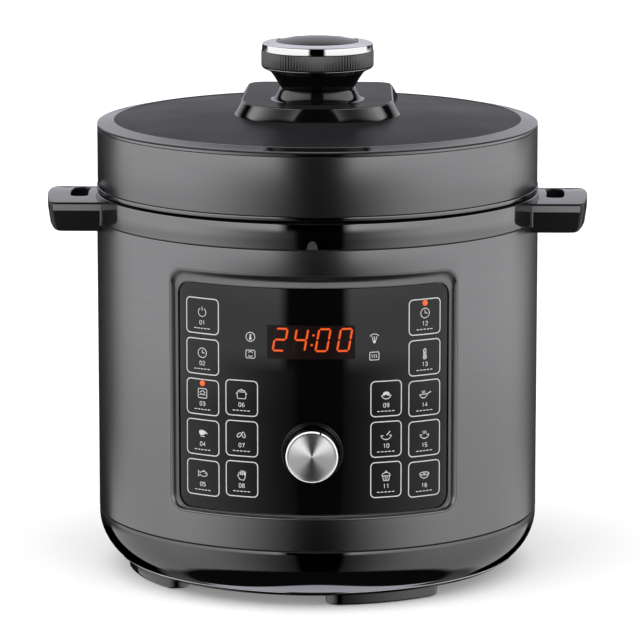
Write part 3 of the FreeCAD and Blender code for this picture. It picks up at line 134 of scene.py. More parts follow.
def arc(cx, cy, r, a0, a1, n=14, ry=None):
    """Points along an arc or ellipse, counted from the first axis."""
    ry = ry or r
    angles = [math.radians(a0 + (a1 - a0) * k / n) for k in range(n + 1)]
    return [(cx + r * math.cos(a), cy + ry * math.sin(a)) for a in angles]


def soften(points, steps=4):
    """Closed outline with its corners rounded; a point is (a, b) or (a, b, radius)."""
    out = []
    count = len(points)
    for i, point in enumerate(points):
        radius = point[2] if len(point) > 2 else 0.0
        here = Vector(point[:2])
        if radius <= 0:
            out.append((here.x, here.y))
            continue
        back = Vector(points[i - 1][:2]) - here
        ahead = Vector(points[(i + 1) % count][:2]) - here
        angle = back.angle(ahead)
        cut = min(radius / math.tan(angle / 2), 0.49 * back.length, 0.49 * ahead.length)
        real = cut * math.tan(angle / 2)
        start = here + back.normalized() * cut
        end = here + ahead.normalized() * cut
        center = here + (back.normalized() + ahead.normalized()).normalized() * math.hypot(real, cut)
        a0 = math.atan2(start.y - center.y, start.x - center.x)
        a1 = math.atan2(end.y - center.y, end.x - center.x)
        sweep = (a1 - a0 + math.pi) % (2 * math.pi) - math.pi
        out += arc(center.x, center.y, real, math.degrees(a0), math.degrees(a0 + sweep), steps)
    return out


def lathe_mesh(profile, segments, closed=True):
    """Vertices and faces of a profile of (radius, height) turned about Z."""
    verts, rings, faces = [], [], []
    for radius, z in profile:
        if radius < 1e-6:
            rings.append([len(verts)] * segments)
            verts.append((0, 0, z))
        else:
            rings.append(list(range(len(verts), len(verts) + segments)))
            verts += [(*at(radius, turn(j, segments)), z) for j in range(segments)]
    pairs = list(zip(rings, rings[1:]))
    if closed:
        pairs.append((rings[-1], rings[0]))
    for low, high in pairs:
        if low[0] == low[1] and high[0] == high[1]:
            continue
        for j in range(segments):
            k = (j + 1) % segments
            faces.append(list(dict.fromkeys((low[j], low[k], high[k], high[j]))))
    return verts, faces


def lathe(name, profile, body, material, slot, segments=240, smooth=SMOOTH, replaces=()):
    """A turned piece from a profile of (radius, height)."""
    verts, faces = lathe_mesh(profile, segments)
    return piece(name, verts, faces, body, material, slot, smooth, replaces)


def loops(rings, closed=True):
    """Faces between successive rings of equal length; rings are lists of points."""
    verts = [p for ring in rings for p in ring]
    n = len(rings[0])
    faces = []
    for i in list(range(len(rings) - 1)) + ([-1] if closed else []):
        a = (i % len(rings)) * n
        b = ((i + 1) % len(rings)) * n
        for j in range(n):
            k = (j + 1) % n
            faces.append((a + j, a + k, b + k, b + j))
    return verts, faces


def plate(layers):
    """Closed curved plate from outline layers, back first."""
    verts, faces = loops(layers, False)
    n = len(layers[0])
    for start in (0, n * (len(layers) - 1)):
        for i in range(n // 2 - 1):
            faces.append((start + i, start + i + 1, start + n - 2 - i, start + n - 1 - i))
    return verts, faces


def block(x0, x1, y0, y1, z0, z1):
    """Vertices and faces of a box."""
    verts = [(x, y, z) for x in (x0, x1) for y in (y0, y1) for z in (z0, z1)]
    faces = [(0, 1, 3, 2), (4, 6, 7, 5), (0, 4, 5, 1), (2, 3, 7, 6), (0, 2, 6, 4), (1, 5, 7, 3)]
    return verts, faces


def wrap(u, z, radius, base=BODY_R):
    """Point on the body's cylinder: u is the arc length from the front at radius base."""
    return (*at(radius, u / base), z)


def window(half, z0, z1, corner):
    """Rounded rectangle as (u, z) pairs: the lower chain from left to right, then the upper chain back."""
    columns, steps = 64, 8
    curve = [corner * (1 - math.cos(math.radians(90 * k / steps))) for k in range(steps + 1)]
    middle = [-half + corner + 2 * (half - corner) * k / columns for k in range(1, columns)]
    low, high = [], []
    for u in [-half + step for step in curve] + middle + [half - step for step in reversed(curve)]:
        over = abs(u) - (half - corner)
        lift = corner - math.sqrt(max(corner * corner - over * over, 0.0)) if over > 0 else 0.0
        low.append((u, z0 + lift))
        high.append((u, z1 - lift))
    return low + high[::-1]


# --- materials
def grey(value, tint=0.0):
    return (value, value, value * (1 + tint))


def shader(mat):
    return mat.node_tree.nodes["Principled BSDF"]


def plug(mat, output, socket):
    mat.node_tree.links.new(output, shader(mat).inputs[socket])


def principled(name, color, rough, metallic=0.0, **sockets):
    mat = bpy.data.materials.new(name)
    mat.use_nodes = True
    inputs = shader(mat).inputs
    inputs["Base Color"].default_value = (*color, 1)
    inputs["Roughness"].default_value = rough
    inputs["Metallic"].default_value = metallic
    for key, value in sockets.items():
        inputs[key.replace("_", " ")].default_value = value
    return mat


def add_node(tree, kind, inputs=(), **settings):
    """A shader node; inputs maps a socket to its value, or to the output that feeds it."""
    node = tree.nodes.new("ShaderNode" + kind)
    for key, value in settings.items():
        setattr(node, key, value)
    for socket, value in dict(inputs).items():
        if isinstance(value, bpy.types.NodeSocket):
            tree.links.new(value, node.inputs[socket])
        elif value is not None:
            node.inputs[socket].default_value = value
    return node


def noise_field(mat, scale, detail=3.0, stretch=(1, 1, 1)):
    """A noise value in the piece's frame, stretched along the axes."""
    tree = mat.node_tree
    place = add_node(tree, "TexCoord").outputs["Object"]
    place = add_node(tree, "Mapping", {"Vector": place, "Scale": stretch}).outputs["Vector"]
    return add_node(tree, "TexNoise", {"Vector": place, "Scale": scale, "Detail": detail}).outputs["Fac"]


def vary_rough(mat, field, low, high):
    limits = {"Value": field, "From Min": 0.3, "From Max": 0.7, "To Min": low, "To Max": high}
    plug(mat, add_node(mat.node_tree, "MapRange", limits).outputs["Result"], "Roughness")


def vary_color(mat, field, dark, light):
    node = add_node(mat.node_tree, "ValToRGB", {"Fac": field})
    for element, position, color in zip(node.color_ramp.elements, (0.3, 0.7), (dark, light)):
        element.position = position
        element.color = (*color, 1)
    plug(mat, node.outputs["Color"], "Base Color")


def bump(mat, field, strength, distance):
    inputs = {"Height": field, "Strength": strength, "Distance": distance}
    plug(mat, add_node(mat.node_tree, "Bump", inputs).outputs["Normal"], "Normal")


def brushed(name, value, rough, tint=0.03):
    """Brushed steel, its fine lines running round the body."""
    mat = principled(name, grey(value, tint), rough, 1.0)
    lines = noise_field(mat, 1.0, 4.0, (14, 14, 1700))
    vary_color(mat, lines, grey(value * 0.975, tint), grey(value * 1.025, tint))
    vary_rough(mat, noise_field(mat, 9.0, 2.0), rough - 0.02, rough + 0.03)
    bump(mat, lines, 0.06, 0.00003)
    return mat


def gloss_metal(name, value, rough, tint=0.02):
    """Smoked finish that mirrors the studio."""
    mat = principled(name, grey(value, tint), rough, 1.0)
    vary_rough(mat, noise_field(mat, 14.0, 3.0), rough, rough + 0.025)
    bump(mat, noise_field(mat, 5.0, 1.0), 0.05, 0.0004)
    return mat


def plastic(name, value, rough, tint=0.0, grain=0.0, scale=2600.0, color=None, metallic=0.0, ior=None):
    """Moulded or cast surface with faint clouds, and a grain where one is given."""
    base = color or grey(value, tint)
    mat = principled(name, base, rough, metallic)
    if ior is not None:
        shader(mat).inputs["IOR"].default_value = ior
    clouds = noise_field(mat, 22.0, 3.0)
    vary_rough(mat, clouds, max(rough - 0.02, 0.02), rough + 0.04)
    vary_color(mat, clouds, tuple(c * 0.94 for c in base), tuple(c * 1.06 for c in base))
    if grain:
        bump(mat, noise_field(mat, scale, 2.0), grain, 0.00003)
    return mat


def glow(name, color, strength, base=(0.02, 0.005, 0.002)):
    return principled(name, base, 0.3, Emission_Color=(*color, 1), Emission_Strength=strength)


# Brushed steel of the shell and lid side, also a painted highlight line on the lid's crest.
STEEL_AND_CREST_HIGHLIGHT = brushed("dark_steel_and_crest_highlight", 0.25, 0.23)
SMOKED = gloss_metal("smoked_gloss", 0.235, 0.05)
BASE = gloss_metal("base_gloss", 0.15, 0.03)
STRIP = gloss_metal("lid_edge_gloss", 0.25, 0.08)
LID_BEVEL = plastic("lid_bevel", 0.05, 0.16, 0.1, ior=1.37)
LID_TOP = plastic("lid_satin", 0.014, 0.28, 0.12, 0.02, ior=1.06)
# Black gloss of the dial's seat and tick, also painted shade in the lid's finger notch.
BLACK_GLOSS_AND_NOTCH_SHADE = plastic("black_gloss_and_notch_shade", 0.005, 0.06)
PEDESTAL = plastic("pedestal_gloss", 0.002, 0.07, 0.06, ior=1.9)
NECK = plastic("neck_gloss", 0.002, 0.07, 0.06, ior=1.6)
PEDESTAL_TOP = plastic("pedestal_satin", 0.012, 0.2, 0.1, ior=1.043)
KNOB = plastic("knob_black", 0.003, 0.12)
GRIP = gloss_metal("grip_gloss", 0.13, 0.16)
BUTTON = plastic("button_satin", 0.008, 0.1, 0.1, ior=1.15)
PANEL = plastic("panel_black", 0.0015, 0.04)
BEZEL = gloss_metal("bezel_satin", 0.23, 0.3, 0.03)
BEZEL_LIP = plastic("bezel_lip", 0.11, 0.35, 0.03)
MARK = plastic("collar_mark", 0.03, 0.4)
# Black matte of inner parts and gaps, also painted shade on the bowl's top edge at the seam.
MATTE_AND_SEAM_SHADE = plastic("black_matte_and_seam_shade", 0.014, 0.5, 0.0, 0.15)
HANDLE = plastic("handle_black", 0.009, 0.10)
# Lighter grey for the handle's strip under its front edge and its end at the collar: painted highlight.
HANDLE_PAINTED_HIGHLIGHT = plastic("handle_painted_highlight", 0.15, 0.4, 0.02)
FOOT = gloss_metal("foot_gloss", 0.13, 0.05)
RUBBER = plastic("black_rubber", 0.016, 0.75, 0.0, 0.3, 1800.0)
SILICONE = plastic("silicone", 0.55, 0.5, -0.05)
PAINT = plastic("panel_paint", 0.56, 0.5)
BOARD = plastic("board_green", 0.1, 0.45, color=(0.01, 0.09, 0.035))
INNER_STEEL = brushed("stainless", 0.55, 0.22, 0.0)
CAST = plastic("cast_aluminium", 0.5, 0.35, metallic=1.0)
POT = brushed("pot_coating", 0.14, 0.33, 0.0)
# Satin chrome of the knob ring's top, also a painted highlight line on the bowl's bead and the knob's flange.
SATIN_CHROME_AND_HIGHLIGHT = gloss_metal("satin_chrome_and_highlight", 0.52, 0.1, 0.06)
CHROME = principled("chrome", grey(0.93, 0.01), 0.05, 1.0)
vary_rough(CHROME, noise_field(CHROME, 30.0), 0.04, 0.07)
SPUN = principled("spun_aluminium", grey(1.0), 0.42, 1.0, Anisotropic=0.9, Anisotropic_Rotation=0.25)
# Near-white diffuse rim of the dial: a painted highlight in place of the chamfer's glints.
DIAL_RIM_HIGHLIGHT = plastic("dial_rim_painted_highlight", 0.82, 0.2)
CLEAR = principled("clear_plastic", (0.8, 0.83, 0.86), 0.12, 0.0, Transmission_Weight=0.85, IOR=1.49)
vary_rough(CLEAR, noise_field(CLEAR, 25.0), 0.08, 0.16)
DIGIT = glow("digit_lit", (1.0, 0.12, 0.012), 0.95)
DIGIT_EDGE = glow("digit_glow", (1.0, 0.06, 0.004), 0.2)
LAMP_LIT = glow("lamp_lit", (1.0, 0.11, 0.02), 0.7, (0.4, 0.06, 0.02))
LAMP_OFF = plastic("lamp_off", 0.02, 0.3)
# Dark display window with a faint red emission: painted glow from the digits.
WINDOW_GLOW = glow("window_painted_glow", (1.0, 0.12, 0.06), 0.004, (0.002, 0.001, 0.001))
# Dark red of the display and its unlit segments, with a faint emission that is painted glow.
DISPLAY_RED_AND_GLOW = glow("display_red_and_glow", (1.0, 0.04, 0.01), 0.006, (0.008, 0.003, 0.003))

BY_SLOT = {
    "casing": BASE, "collar": SMOKED, "handle": HANDLE, "shell": STEEL_AND_CREST_HIGHLIGHT, "lid_top": LID_TOP,
    "panel": PANEL, "bezel": BEZEL, "chrome": CHROME, "lights": LAMP_OFF, "display": DISPLAY_RED_AND_GLOW,
    "board": BOARD, "steel": INNER_STEEL, "screw": INNER_STEEL, "aluminium": CAST, "pot": POT,
    "rubber": RUBBER, "silicone": SILICONE, "inner_plastic": MATTE_AND_SEAM_SHADE, "cup": CLEAR, "spring": INNER_STEEL,
}
for part in frame["record"]["subparts"]:
    slots = nodes[part["node"]].data.materials
    for index in range(len(slots)):
        slots[index] = BY_SLOT[part["material_slot"]]


# --- base bowl
def bowl_arc(across, down, start, end, steps):
    """Part of the bowl's elliptic wall, by degrees below its level top."""
    return arc(88, 34.7, across, start, end, steps, -down)


def bowl_shade_and_highlight(x, y, z, face):
    """Black matte above the seam, also on the bowl's rounded top edge as painted shade in the seam; satin
    chrome on the step above the feet as a painted highlight line.
    """
    if z > 36.95:
        return 1
    return 2 if 9.2 < z < 9.8 and face.normal.z < 0.9 and math.hypot(x, y) > 121 else 0


bowl = [(96.0, 7.0), (119.0, 7.02)] + bowl_arc(46.9, 36.9, 47.6, 43.6, 3)
bowl += [(122.45, 9.15), (122.65, 9.45), (122.6, 9.75)] + bowl_arc(46.9, 36.9, 42.2, 0, 24)
bowl += [(134.9, 36.9), (134.75, 37.15), (133.7, 37.2), (133.7, 43.7), (131.7, 43.7), (131.7, 34.7)]
bowl += bowl_arc(44.4, 34.4, 2, 47, 14)
bowl += [(100, 9.5), (100, 11.5), (86, 11.5), (86, 9.0), (96, 9.0)]
base_bowl = lathe("base_bowl", bowl, "housing", BASE, "casing", replaces=["base_shell"])
# The bowl's top edge is painted black as shade in the seam, and its bead lighter as a painted highlight line.
paint(base_bowl, [MATTE_AND_SEAM_SHADE, SATIN_CHROME_AND_HIGHLIGHT], bowl_shade_and_highlight)

# --- feet
FOOT_MID = 109.3
FOOT_HALF = math.radians(18.6) * FOOT_MID
FOOT_AZIMUTHS = (22.5, 115.5, 202.5, 295.5)
FOOT_EDGE = ((1.3, 0.0), (0.6, 0.15), (0.15, 0.7), (0.0, 1.5))     # inset and height of the round edge
FOOT_EMBED = 0.3                                                   # how far the top goes into the bowl
foot_low, foot_high = (corner.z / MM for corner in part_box("feet"))


def foot_layer(azimuth, inset, z):
    """One level of a foot: a curved block with round ends."""
    outline = window(FOOT_HALF - inset, 101.0 + inset, 117.6 - inset, 8.0 - inset)
    return [(*at(r, math.radians(azimuth) + u / FOOT_MID), z) for u, r in outline]


foot_verts, foot_faces = [], []
for azimuth in FOOT_AZIMUTHS:
    layers = [foot_layer(azimuth, inset, foot_low + rise) for inset, rise in FOOT_EDGE]
    layers.append(foot_layer(azimuth, 0.0, foot_high + FOOT_EMBED))
    verts, faces = plate(layers)
    foot_faces += [tuple(len(foot_verts) + i for i in face) for face in faces]
    foot_verts += verts
piece("feet_round", foot_verts, foot_faces, "housing", FOOT, "inner_plastic", SMOOTH, ["feet"])

# --- shell with its panel opening
WINDOW_HALF = math.radians(39.2) * BODY_R
WINDOW_LOW, WINDOW_HIGH = 56.5, 203.4
POCKET_LIP = 3.0        # how far the cup's bracket laps over the edge of its opening
shell = soften([(135.0, 37.95, 0.2), (135.0, 217.8, 0.3), (134.0, 217.8), (134.0, 37.95)])
shell_obj = link(bpy.data.objects.new("outer_casing", mesh_of("outer_casing", *lathe_mesh(shell, 360))))
outline = window(WINDOW_HALF, WINDOW_LOW, WINDOW_HIGH, 9.5)
cut_out(shell_obj, *plate([[wrap(u, z, radius) for u, z in outline] for radius in (120, 150)]))
low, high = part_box("cup_bracket")
wide = high.x / MM - POCKET_LIP
cut_out(shell_obj, *block(-wide, wide, 100, 150, low.z / MM + POCKET_LIP, high.z / MM - POCKET_LIP))
shell_obj.data.materials.clear()
dress(shell_obj, "housing", STEEL_AND_CREST_HIGHLIGHT, SMOOTH, ["outer_shell"])

# --- collar and lid rings
collar_profile = [(126.6, 233.6, 0.8), (135.0, 233.6, 0.5), (135.0, 218.5, 0.3), (133.9, 218.5),
                  (133.9, 212.0), (131.9, 212.0), (131.9, 223.5), (126.6, 223.5)]
trim_profile = [(13, 235.2), (135.0, 235.2, 0.7), (135.0, 237.6, 0.3), (133.9, 237.6), (133.9, 242.6),
                (131.7, 242.6), (131.7, 237.7), (130.2, 237.7), (130.2, 237.2), (13, 237.2)]
side_profile = [(134.5, 238.0, 0.3), (134.5, 272.9, 0.2), (133.95, 272.9), (133.95, 238.0)]
collar_ring = lathe("collar_ring", soften(collar_profile), "housing", SMOKED, "collar", replaces=["collar"])
lid_trim = lathe("lid_trim", soften(trim_profile), "lid", SMOKED, "collar", replaces=["lid_base"])
lathe("lid_side", soften(side_profile), "lid", STEEL_AND_CREST_HIGHLIGHT, "shell", replaces=["lid_band"])
for ring in (collar_ring, lid_trim):
    paint(ring, [MATTE_AND_SEAM_SHADE], lambda x, y, z, face: math.hypot(x, y) < 134.6)

# --- lid cover
CREST_R = 125.0
NOTCH_MID, NOTCH_HALF = 1.4, 13.3       # finger notch in the front rim, in degrees
NOTCH_DEEP = 1.7
COVER_SEGMENTS = 540


def dome(r):
    """Height of the lid's top."""
    return 277.0 + 5.0 * (1 - (r / CREST_R) ** 2)


def clamp(value):
    return min(max(value, 0.0), 1.0)


def notch_drop(radius, azimuth):
    """How far the finger notch sinks the lid's rim."""
    side = clamp((NOTCH_HALF - abs(azimuth - NOTCH_MID)) / 0.7)
    return NOTCH_DEEP * side * clamp((radius - 125.9) / 0.5) * clamp((131.9 - radius) / 0.5)


def cover_finish_shade_and_highlight(x, y, z, face):
    """Gaps and inside matte, outer edge light, rim satin; the crest in steel as a painted highlight line, the
    notch in black gloss as painted shade.
    """
    radius = math.hypot(x, y)
    bearing = math.degrees(math.atan2(x, -y))
    if radius > 133.7 and (z < 273.42 or (274.8 < z < 275.42 and radius < 134.42)):
        return 3
    if radius > 134.2 and z < 275.0:
        return 1
    # the notch's inside in black gloss: painted shade in the recess
    if abs(bearing - NOTCH_MID) < NOTCH_HALF + 0.5 and 125.7 < radius < 131.9 and z > 274.0:
        return 4
    # the crest in lighter steel: a painted highlight along its edge
    if 124.4 < radius < 125.3 and z > 276.0:
        return 5
    return 2 if radius > 124.3 and z > 275.4 else 0


cover_top = [(134.5, 273.4), (134.5, 274.75), (134.35, 274.85), (133.8, 274.87), (133.8, 275.4),
             (134.45, 275.45), (134.2, 275.6), (133.4, 275.75), (132.6, 275.88), (131.2, 276.16),
             (129.0, 276.63), (127.0, 277.05), (125.9, 277.3), (125.2, 277.48), (124.8, 277.5),
             (124.5, 277.35), (124.3, 277.1), (123.9, 277.08)]
cover_top += [(r, dome(r)) for r in (122, 118, 112, 104, 96, 86, 76, 66, 56, 46, 36, 26, 14)]
cover_under = [(14, 280.0), (60, 279.2), (110, 276.2), (123.0, 275.2), (131.7, 272.6), (131.7, 268.2),
               (133.8, 268.2), (133.8, 273.4)]
verts, faces = lathe_mesh(cover_top + cover_under, COVER_SEGMENTS)
for index, (x, y, z) in enumerate(verts):
    radius = math.hypot(x, y)
    if z > 275.0 and 125 < radius < 132.5:
        verts[index] = (x, y, z - notch_drop(radius, math.degrees(math.atan2(x, -y))))
cover = piece("lid_top_cover", verts, faces, "lid", LID_TOP, "lid_top", 30.0, ["lid_cover"])
# The crest is painted light as a highlight line, and the notch black as shade.
paint(cover, [STRIP, LID_BEVEL, MATTE_AND_SEAM_SHADE, BLACK_GLOSS_AND_NOTCH_SHADE, STEEL_AND_CREST_HIGHLIGHT], cover_finish_shade_and_highlight)

# --- pedestal
PEDESTAL_FOOT = 281.2
NECK_FOOT = 289.2
NECK_R = 28.9
VENT_EDGE = 1.6         # frame of the steam outlet round its opening


def tongue(half_width, front, back, taper, front_corner, back_corner):
    """Outline of the pedestal as dense points, anticlockwise from the front's middle."""
    side = arc(half_width - front_corner, front_corner - front, front_corner, -90, 0, 24)
    side += arc(half_width - taper - back_corner, back - back_corner, back_corner, 0, 90, 16)
    return [(0.0, -front)] + side + [(0.0, back)] + [(-x, y) for x, y in reversed(side)]


def polar(outline_points, angles):
    """Where rays from the axis cross an outline."""
    out = []
    n = len(outline_points)
    for a in angles:
        d = at(1.0, a)
        best = None
        for i in range(n):
            (x0, y0), (x1, y1) = outline_points[i], outline_points[(i + 1) % n]
            ex, ey = x1 - x0, y1 - y0
            den = d[0] * ey - d[1] * ex
            if abs(den) < 1e-12:
                continue
            t = (x0 * ey - y0 * ex) / den
            s = (x0 * d[1] - y0 * d[0]) / den
            if t > 0 and -1e-6 <= s <= 1 + 1e-6 and (best is None or t > best):
                best = t
        out.append((d[0] * best, d[1] * best))
    return out


# even rays, with extra ones at the two rear corners
REAR_CORNER = math.pi - math.atan2(39.5, 76.0)
ANGLES = [turn(k, 288) for k in range(288)]
ANGLES += [(sign * REAR_CORNER + k * 0.006) % (2 * math.pi) for k in range(-8, 9) for sign in (1, -1)]
ANGLES = sorted(set(round(a, 5) for a in ANGLES))
UPPER = (46.0, 46.5, 80.5, 1.3, 44.0, 11.0)
LOWER = (50.3, 49.7, 83.7, 1.3, 42.0, 13.0)


def level(t, inset=0.0):
    """Tongue outline between the lower (t=0) and the upper (t=1) one."""
    mix = [lo + (hi - lo) * t for lo, hi in zip(LOWER, UPPER)]
    mix[:3] = [size - inset for size in mix[:3]]
    mix[4] = max(mix[4] - inset, 4)
    mix[5] = max(mix[5] - inset, 2)
    return polar(tongue(*mix), ANGLES)


def on_dome(points, lift):
    return [(x, y, dome(math.hypot(x, y)) + lift) for x, y in points]


def pedestal_wall(t):
    """Level of the sloping side, never below the dome."""
    z = PEDESTAL_FOOT + (NECK_FOOT - PEDESTAL_FOOT) * t
    return [(x, y, max(z, top)) for x, y, top in on_dome(level(t), 0.06 + 0.1 * t)]


def between(edge, t):
    """Ring on the flat top, between its rim and the neck's foot."""
    out = []
    for (x, y, z), a in zip(edge, ANGLES):
        foot_x, foot_y = at(NECK_R, a)
        out.append((x + (foot_x - x) * t, y + (foot_y - y) * t, NECK_FOOT))
    return out


rings = [on_dome(level(-0.3, 2.5), -2.0), on_dome(level(-0.35), -1.5), on_dome(level(-0.02), 0.05)]
rings += [pedestal_wall(t) for t in (0.12, 0.3, 0.5, 0.7, 0.84, 0.9)]
for step in range(6):
    a = math.radians(18 * step)
    rounded = level(0.95, 0.15 + 0.8 * (1 - math.cos(a)))
    rings.append([(x, y, NECK_FOOT - 0.7 + 0.7 * math.sin(a)) for x, y in rounded])
rim_ring = rings[-1]
rings += [between(rim_ring, t) for t in (0.03, 0.3, 0.65, 0.97)]
neck_profile = [(28.6, NECK_FOOT + 0.02), (27.6, 289.45), (26.7, 290.0), (25.9, 290.9), (25.3, 291.9),
                (24.8, 292.9), (24.3, 293.9), (23.8, 294.9), (23.4, 295.7), (23.0, 296.2), (22.6, 296.4),
                (12.1, 296.4), (12.1, 283.4), (30, 283.3)]
rings += [[(*at(r, a), z) for a in ANGLES] for r, z in neck_profile]
pedestal = piece("lid_pedestal", *loops(rings), "lid", PEDESTAL, "lid_top", 32.0, ["pedestal"])
paint(pedestal, [PEDESTAL_TOP, NECK],
      lambda x, y, z, face: (1 if math.hypot(x, y) > 28.6 else 2) if z > NECK_FOOT - 0.05 else 0)
low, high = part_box("steam_outlet")
cut_out(pedestal, *block(low.x / MM + VENT_EDGE, high.x / MM - VENT_EDGE,
                         low.y / MM + VENT_EDGE, high.y / MM - VENT_EDGE, 286.0, 292.0))

# --- knob
core_profile = [(8.0, 296.75), (22.5, 296.75, 0.5), (23.6, 298.4, 2.0), (25.8, 302.3, 6.0),
                (28.8, 306.5, 5.0), (33.2, 308.6, 0.8), (34.1, 309.4, 0.35), (33.6, 309.65), (30.95, 309.65),
                (30.95, 321.8), (28.6, 321.8), (28.6, 315.7), (5.05, 315.7), (5.05, 313.3), (8.0, 313.3)]
core = lathe("knob_core", soften(core_profile, 5), "lock", KNOB, "collar", 192, 40.0, ["knob_body"])
# the flange's rim under the grip in satin chrome: a painted highlight line
paint(core, [SATIN_CHROME_AND_HIGHLIGHT], lambda x, y, z, face: 309.0 < z < 309.64 and math.hypot(x, y) > 33.3)

TEETH = 110
GRIP_R, GRIP_INNER_R = 34.3, 31.0
GROOVE = (0.55, 0.55, 0.1925, 0.0, 0.0, 0.1925)     # depth of one rib's steps
GRIP_EDGE = ((0.45, 309.7), (0.1, 309.95), (0.0, 310.4), (0.0, 318.7), (0.1, 319.05), (0.45, 319.2))
grooves = GROOVE * TEETH


def grip_ring(radius, z, ribbed):
    """One level of the knurled ring, with the ribs' steps or plain."""
    return [(*at(radius - groove * ribbed, turn(j, len(grooves))), z) for j, groove in enumerate(grooves)]


grip_rings = [grip_ring(GRIP_R - inset, z, 1) for inset, z in GRIP_EDGE]
grip_rings += [grip_ring(GRIP_INNER_R, z, 0) for z in (319.2, 309.7)]
piece("knob_grip", *loops(grip_rings), "lock", GRIP, "handle", 50.0, ["grip_ring"])

chrome_profile = [(31.0, 319.5), (34.0, 319.4, 0.2), (33.55, 323.45, 0.25), (33.1, 323.65, 0.25),
                  (25.9, 324.95, 0.3), (25.6, 322.1), (31.0, 321.9)]
chrome = lathe("knob_chrome", soften(chrome_profile, 5), "lock", CHROME, "chrome", 240, 40.0, ["chrome_ring"])
paint(chrome, [SATIN_CHROME_AND_HIGHLIGHT], lambda x, y, z, face: z > 323.5 and face.normal.z > 0.9)

# domed cap: a part of a ball, 2.7 mm high over a radius of 24.6 mm
CAP_TOP, CAP_RISE, CAP_R = 327.4, 2.7, 24.6
cap_ball = (CAP_R ** 2 + CAP_RISE ** 2) / (2 * CAP_RISE)
cap_profile = [(0.0, CAP_TOP)]
cap_profile += [(r, CAP_TOP - cap_ball + math.sqrt(cap_ball ** 2 - r * r))
                for r in (3, 6, 9, 12, 15, 18, 20.5, 22.5, 23.6, 24.3)]
cap_profile += [(24.75, 324.65), (24.95, 324.4), (24.95, 321.4), (23.9, 321.4), (23.9, 323.2), (10, 323.4),
                (10, 321.4), (5.0, 321.4), (5.0, 317.0), (0.0, 317.0)]
cap = lathe("vent_cap", cap_profile, "vent", BUTTON, "lid_top", 192, SMOOTH, ["vent_button"])
paint(cap, [MATTE_AND_SEAM_SHADE], lambda x, y, z, face: z < 324.5 and math.hypot(x, y) > 24.85)

# --- handles
HANDLE_ROOT = 135.1     # radius of the face against the collar
HANDLE_HALF = 35.0
HANDLE_REACH = 165.0
HANDLE_CORNER = 3.0
HANDLE_START = math.sqrt(HANDLE_ROOT ** 2 - HANDLE_HALF ** 2)
HANDLE_END = 0.7        # narrow end of the front face against the collar, painted light as a highlight line
STRIP_LOW, STRIP_HIGH = 225.2, 228.6
EDGE_ROUND = 0.85
SLOT_HALF, SLOT_IN, SLOT_OUT, SLOT_CORNER = 18.0, 140.5, 150.8, 4.0
SLOT_MID = 147.0        # the slot's outline is matched to the handle's as seen from here
# inset at the sides, inset at the end, height: the lower edge and the front
HANDLE_LEVELS = ((1.8, 7.0, 212.3), (1.0, 4.7, 212.5), (0.5, 3.1, 213.2), (0.2, 2.1, 214.4),
                 (0.05, 1.4, 216.0), (0.0, 0.9, 219.5), (0.0, 0.35, 223.5), (0.0, 0.1, STRIP_LOW))
# growth of the slot and its height: the rounded mouth down from the crown, then the lower mouth
SLOT_MOUTH = ((1.6, 0.0), (0.9, -0.05), (0.35, -0.3), (0.05, -0.8), (0.0, -1.4))
SLOT_UNDER = ((0.0, 213.8), (0.1, 213.2), (0.6, 212.5), (1.4, 212.3))


def crown(y):
    """Height of the handle's top, lower towards both ends."""
    return 232.15 - y * y / (562.0 if y < 0 else 420.0)


def handle_outline():
    """Outline seen from above, from the root's arc round the end and back."""
    end = math.asin((HANDLE_HALF - HANDLE_CORNER) / (HANDLE_REACH - HANDLE_CORNER))
    cx, cy = (HANDLE_REACH - HANDLE_CORNER) * math.cos(end), HANDLE_HALF - HANDLE_CORNER
    end = math.degrees(end)
    root = math.degrees(math.asin(HANDLE_HALF / HANDLE_ROOT))
    near = HANDLE_START + HANDLE_END
    points = arc(0, 0, HANDLE_ROOT, -root, root, 34)[:-1] + [(HANDLE_START, HANDLE_HALF)]
    points += [(near + (cx - near) * k / 14, HANDLE_HALF) for k in range(14)]
    points += arc(cx, cy, HANDLE_CORNER, 90, end, 10)[:-1] + arc(0, 0, HANDLE_REACH, end, -end, 26)[:-1]
    points += arc(cx, -cy, HANDLE_CORNER, -end, -90, 10)[:-1]
    return points + [(cx + (near - cx) * k / 14, -HANDLE_HALF) for k in range(15)]


HANDLE_OUTLINE = handle_outline()


def handle_inset(across, along):
    """The handle's outline, narrower by across and shorter by along."""
    ring = []
    for x, y in HANDLE_OUTLINE:
        u = x - math.sqrt(HANDLE_ROOT ** 2 - y * y)
        y2 = y * (HANDLE_HALF - across) / HANDLE_HALF
        length = HANDLE_REACH - HANDLE_ROOT
        ring.append((math.sqrt(HANDLE_ROOT ** 2 - y2 * y2) + u * (length - along) / length, y2))
    return ring


def slot_outline(grow):
    """Finger slot, matched point by point to the handle's outline."""
    r0, r1, c = SLOT_IN - grow, SLOT_OUT + grow, SLOT_CORNER + grow
    flat = SLOT_HALF + grow - c
    inner = math.sqrt(r0 * r0 - flat ** 2) + c
    outer = math.sqrt(r1 * r1 - flat ** 2) - c
    steps = [-flat + 2 * flat * k / 60 for k in range(60)]
    dense = [(math.sqrt(r0 * r0 - y * y), y) for y in steps]
    dense += arc(inner, flat, c, 180, 90, 20)[:-1] + arc(outer, flat, c, 90, 0, 20)[:-1]
    dense += [(math.sqrt(r1 * r1 - y * y), -y) for y in steps]
    dense += arc(outer, -flat, c, 0, -90, 20)[:-1] + arc(inner, -flat, c, -90, -180, 20)[:-1]
    bearings = [math.atan2(y * 0.55, x - SLOT_MID) for x, y in dense]
    ring = []
    for x, y in HANDLE_OUTLINE:
        want = math.atan2(y * 0.42, x - SLOT_MID)
        off = [abs((bearing - want + math.pi) % (2 * math.pi) - math.pi) for bearing in bearings]
        ring.append(dense[off.index(min(off))])
    return ring


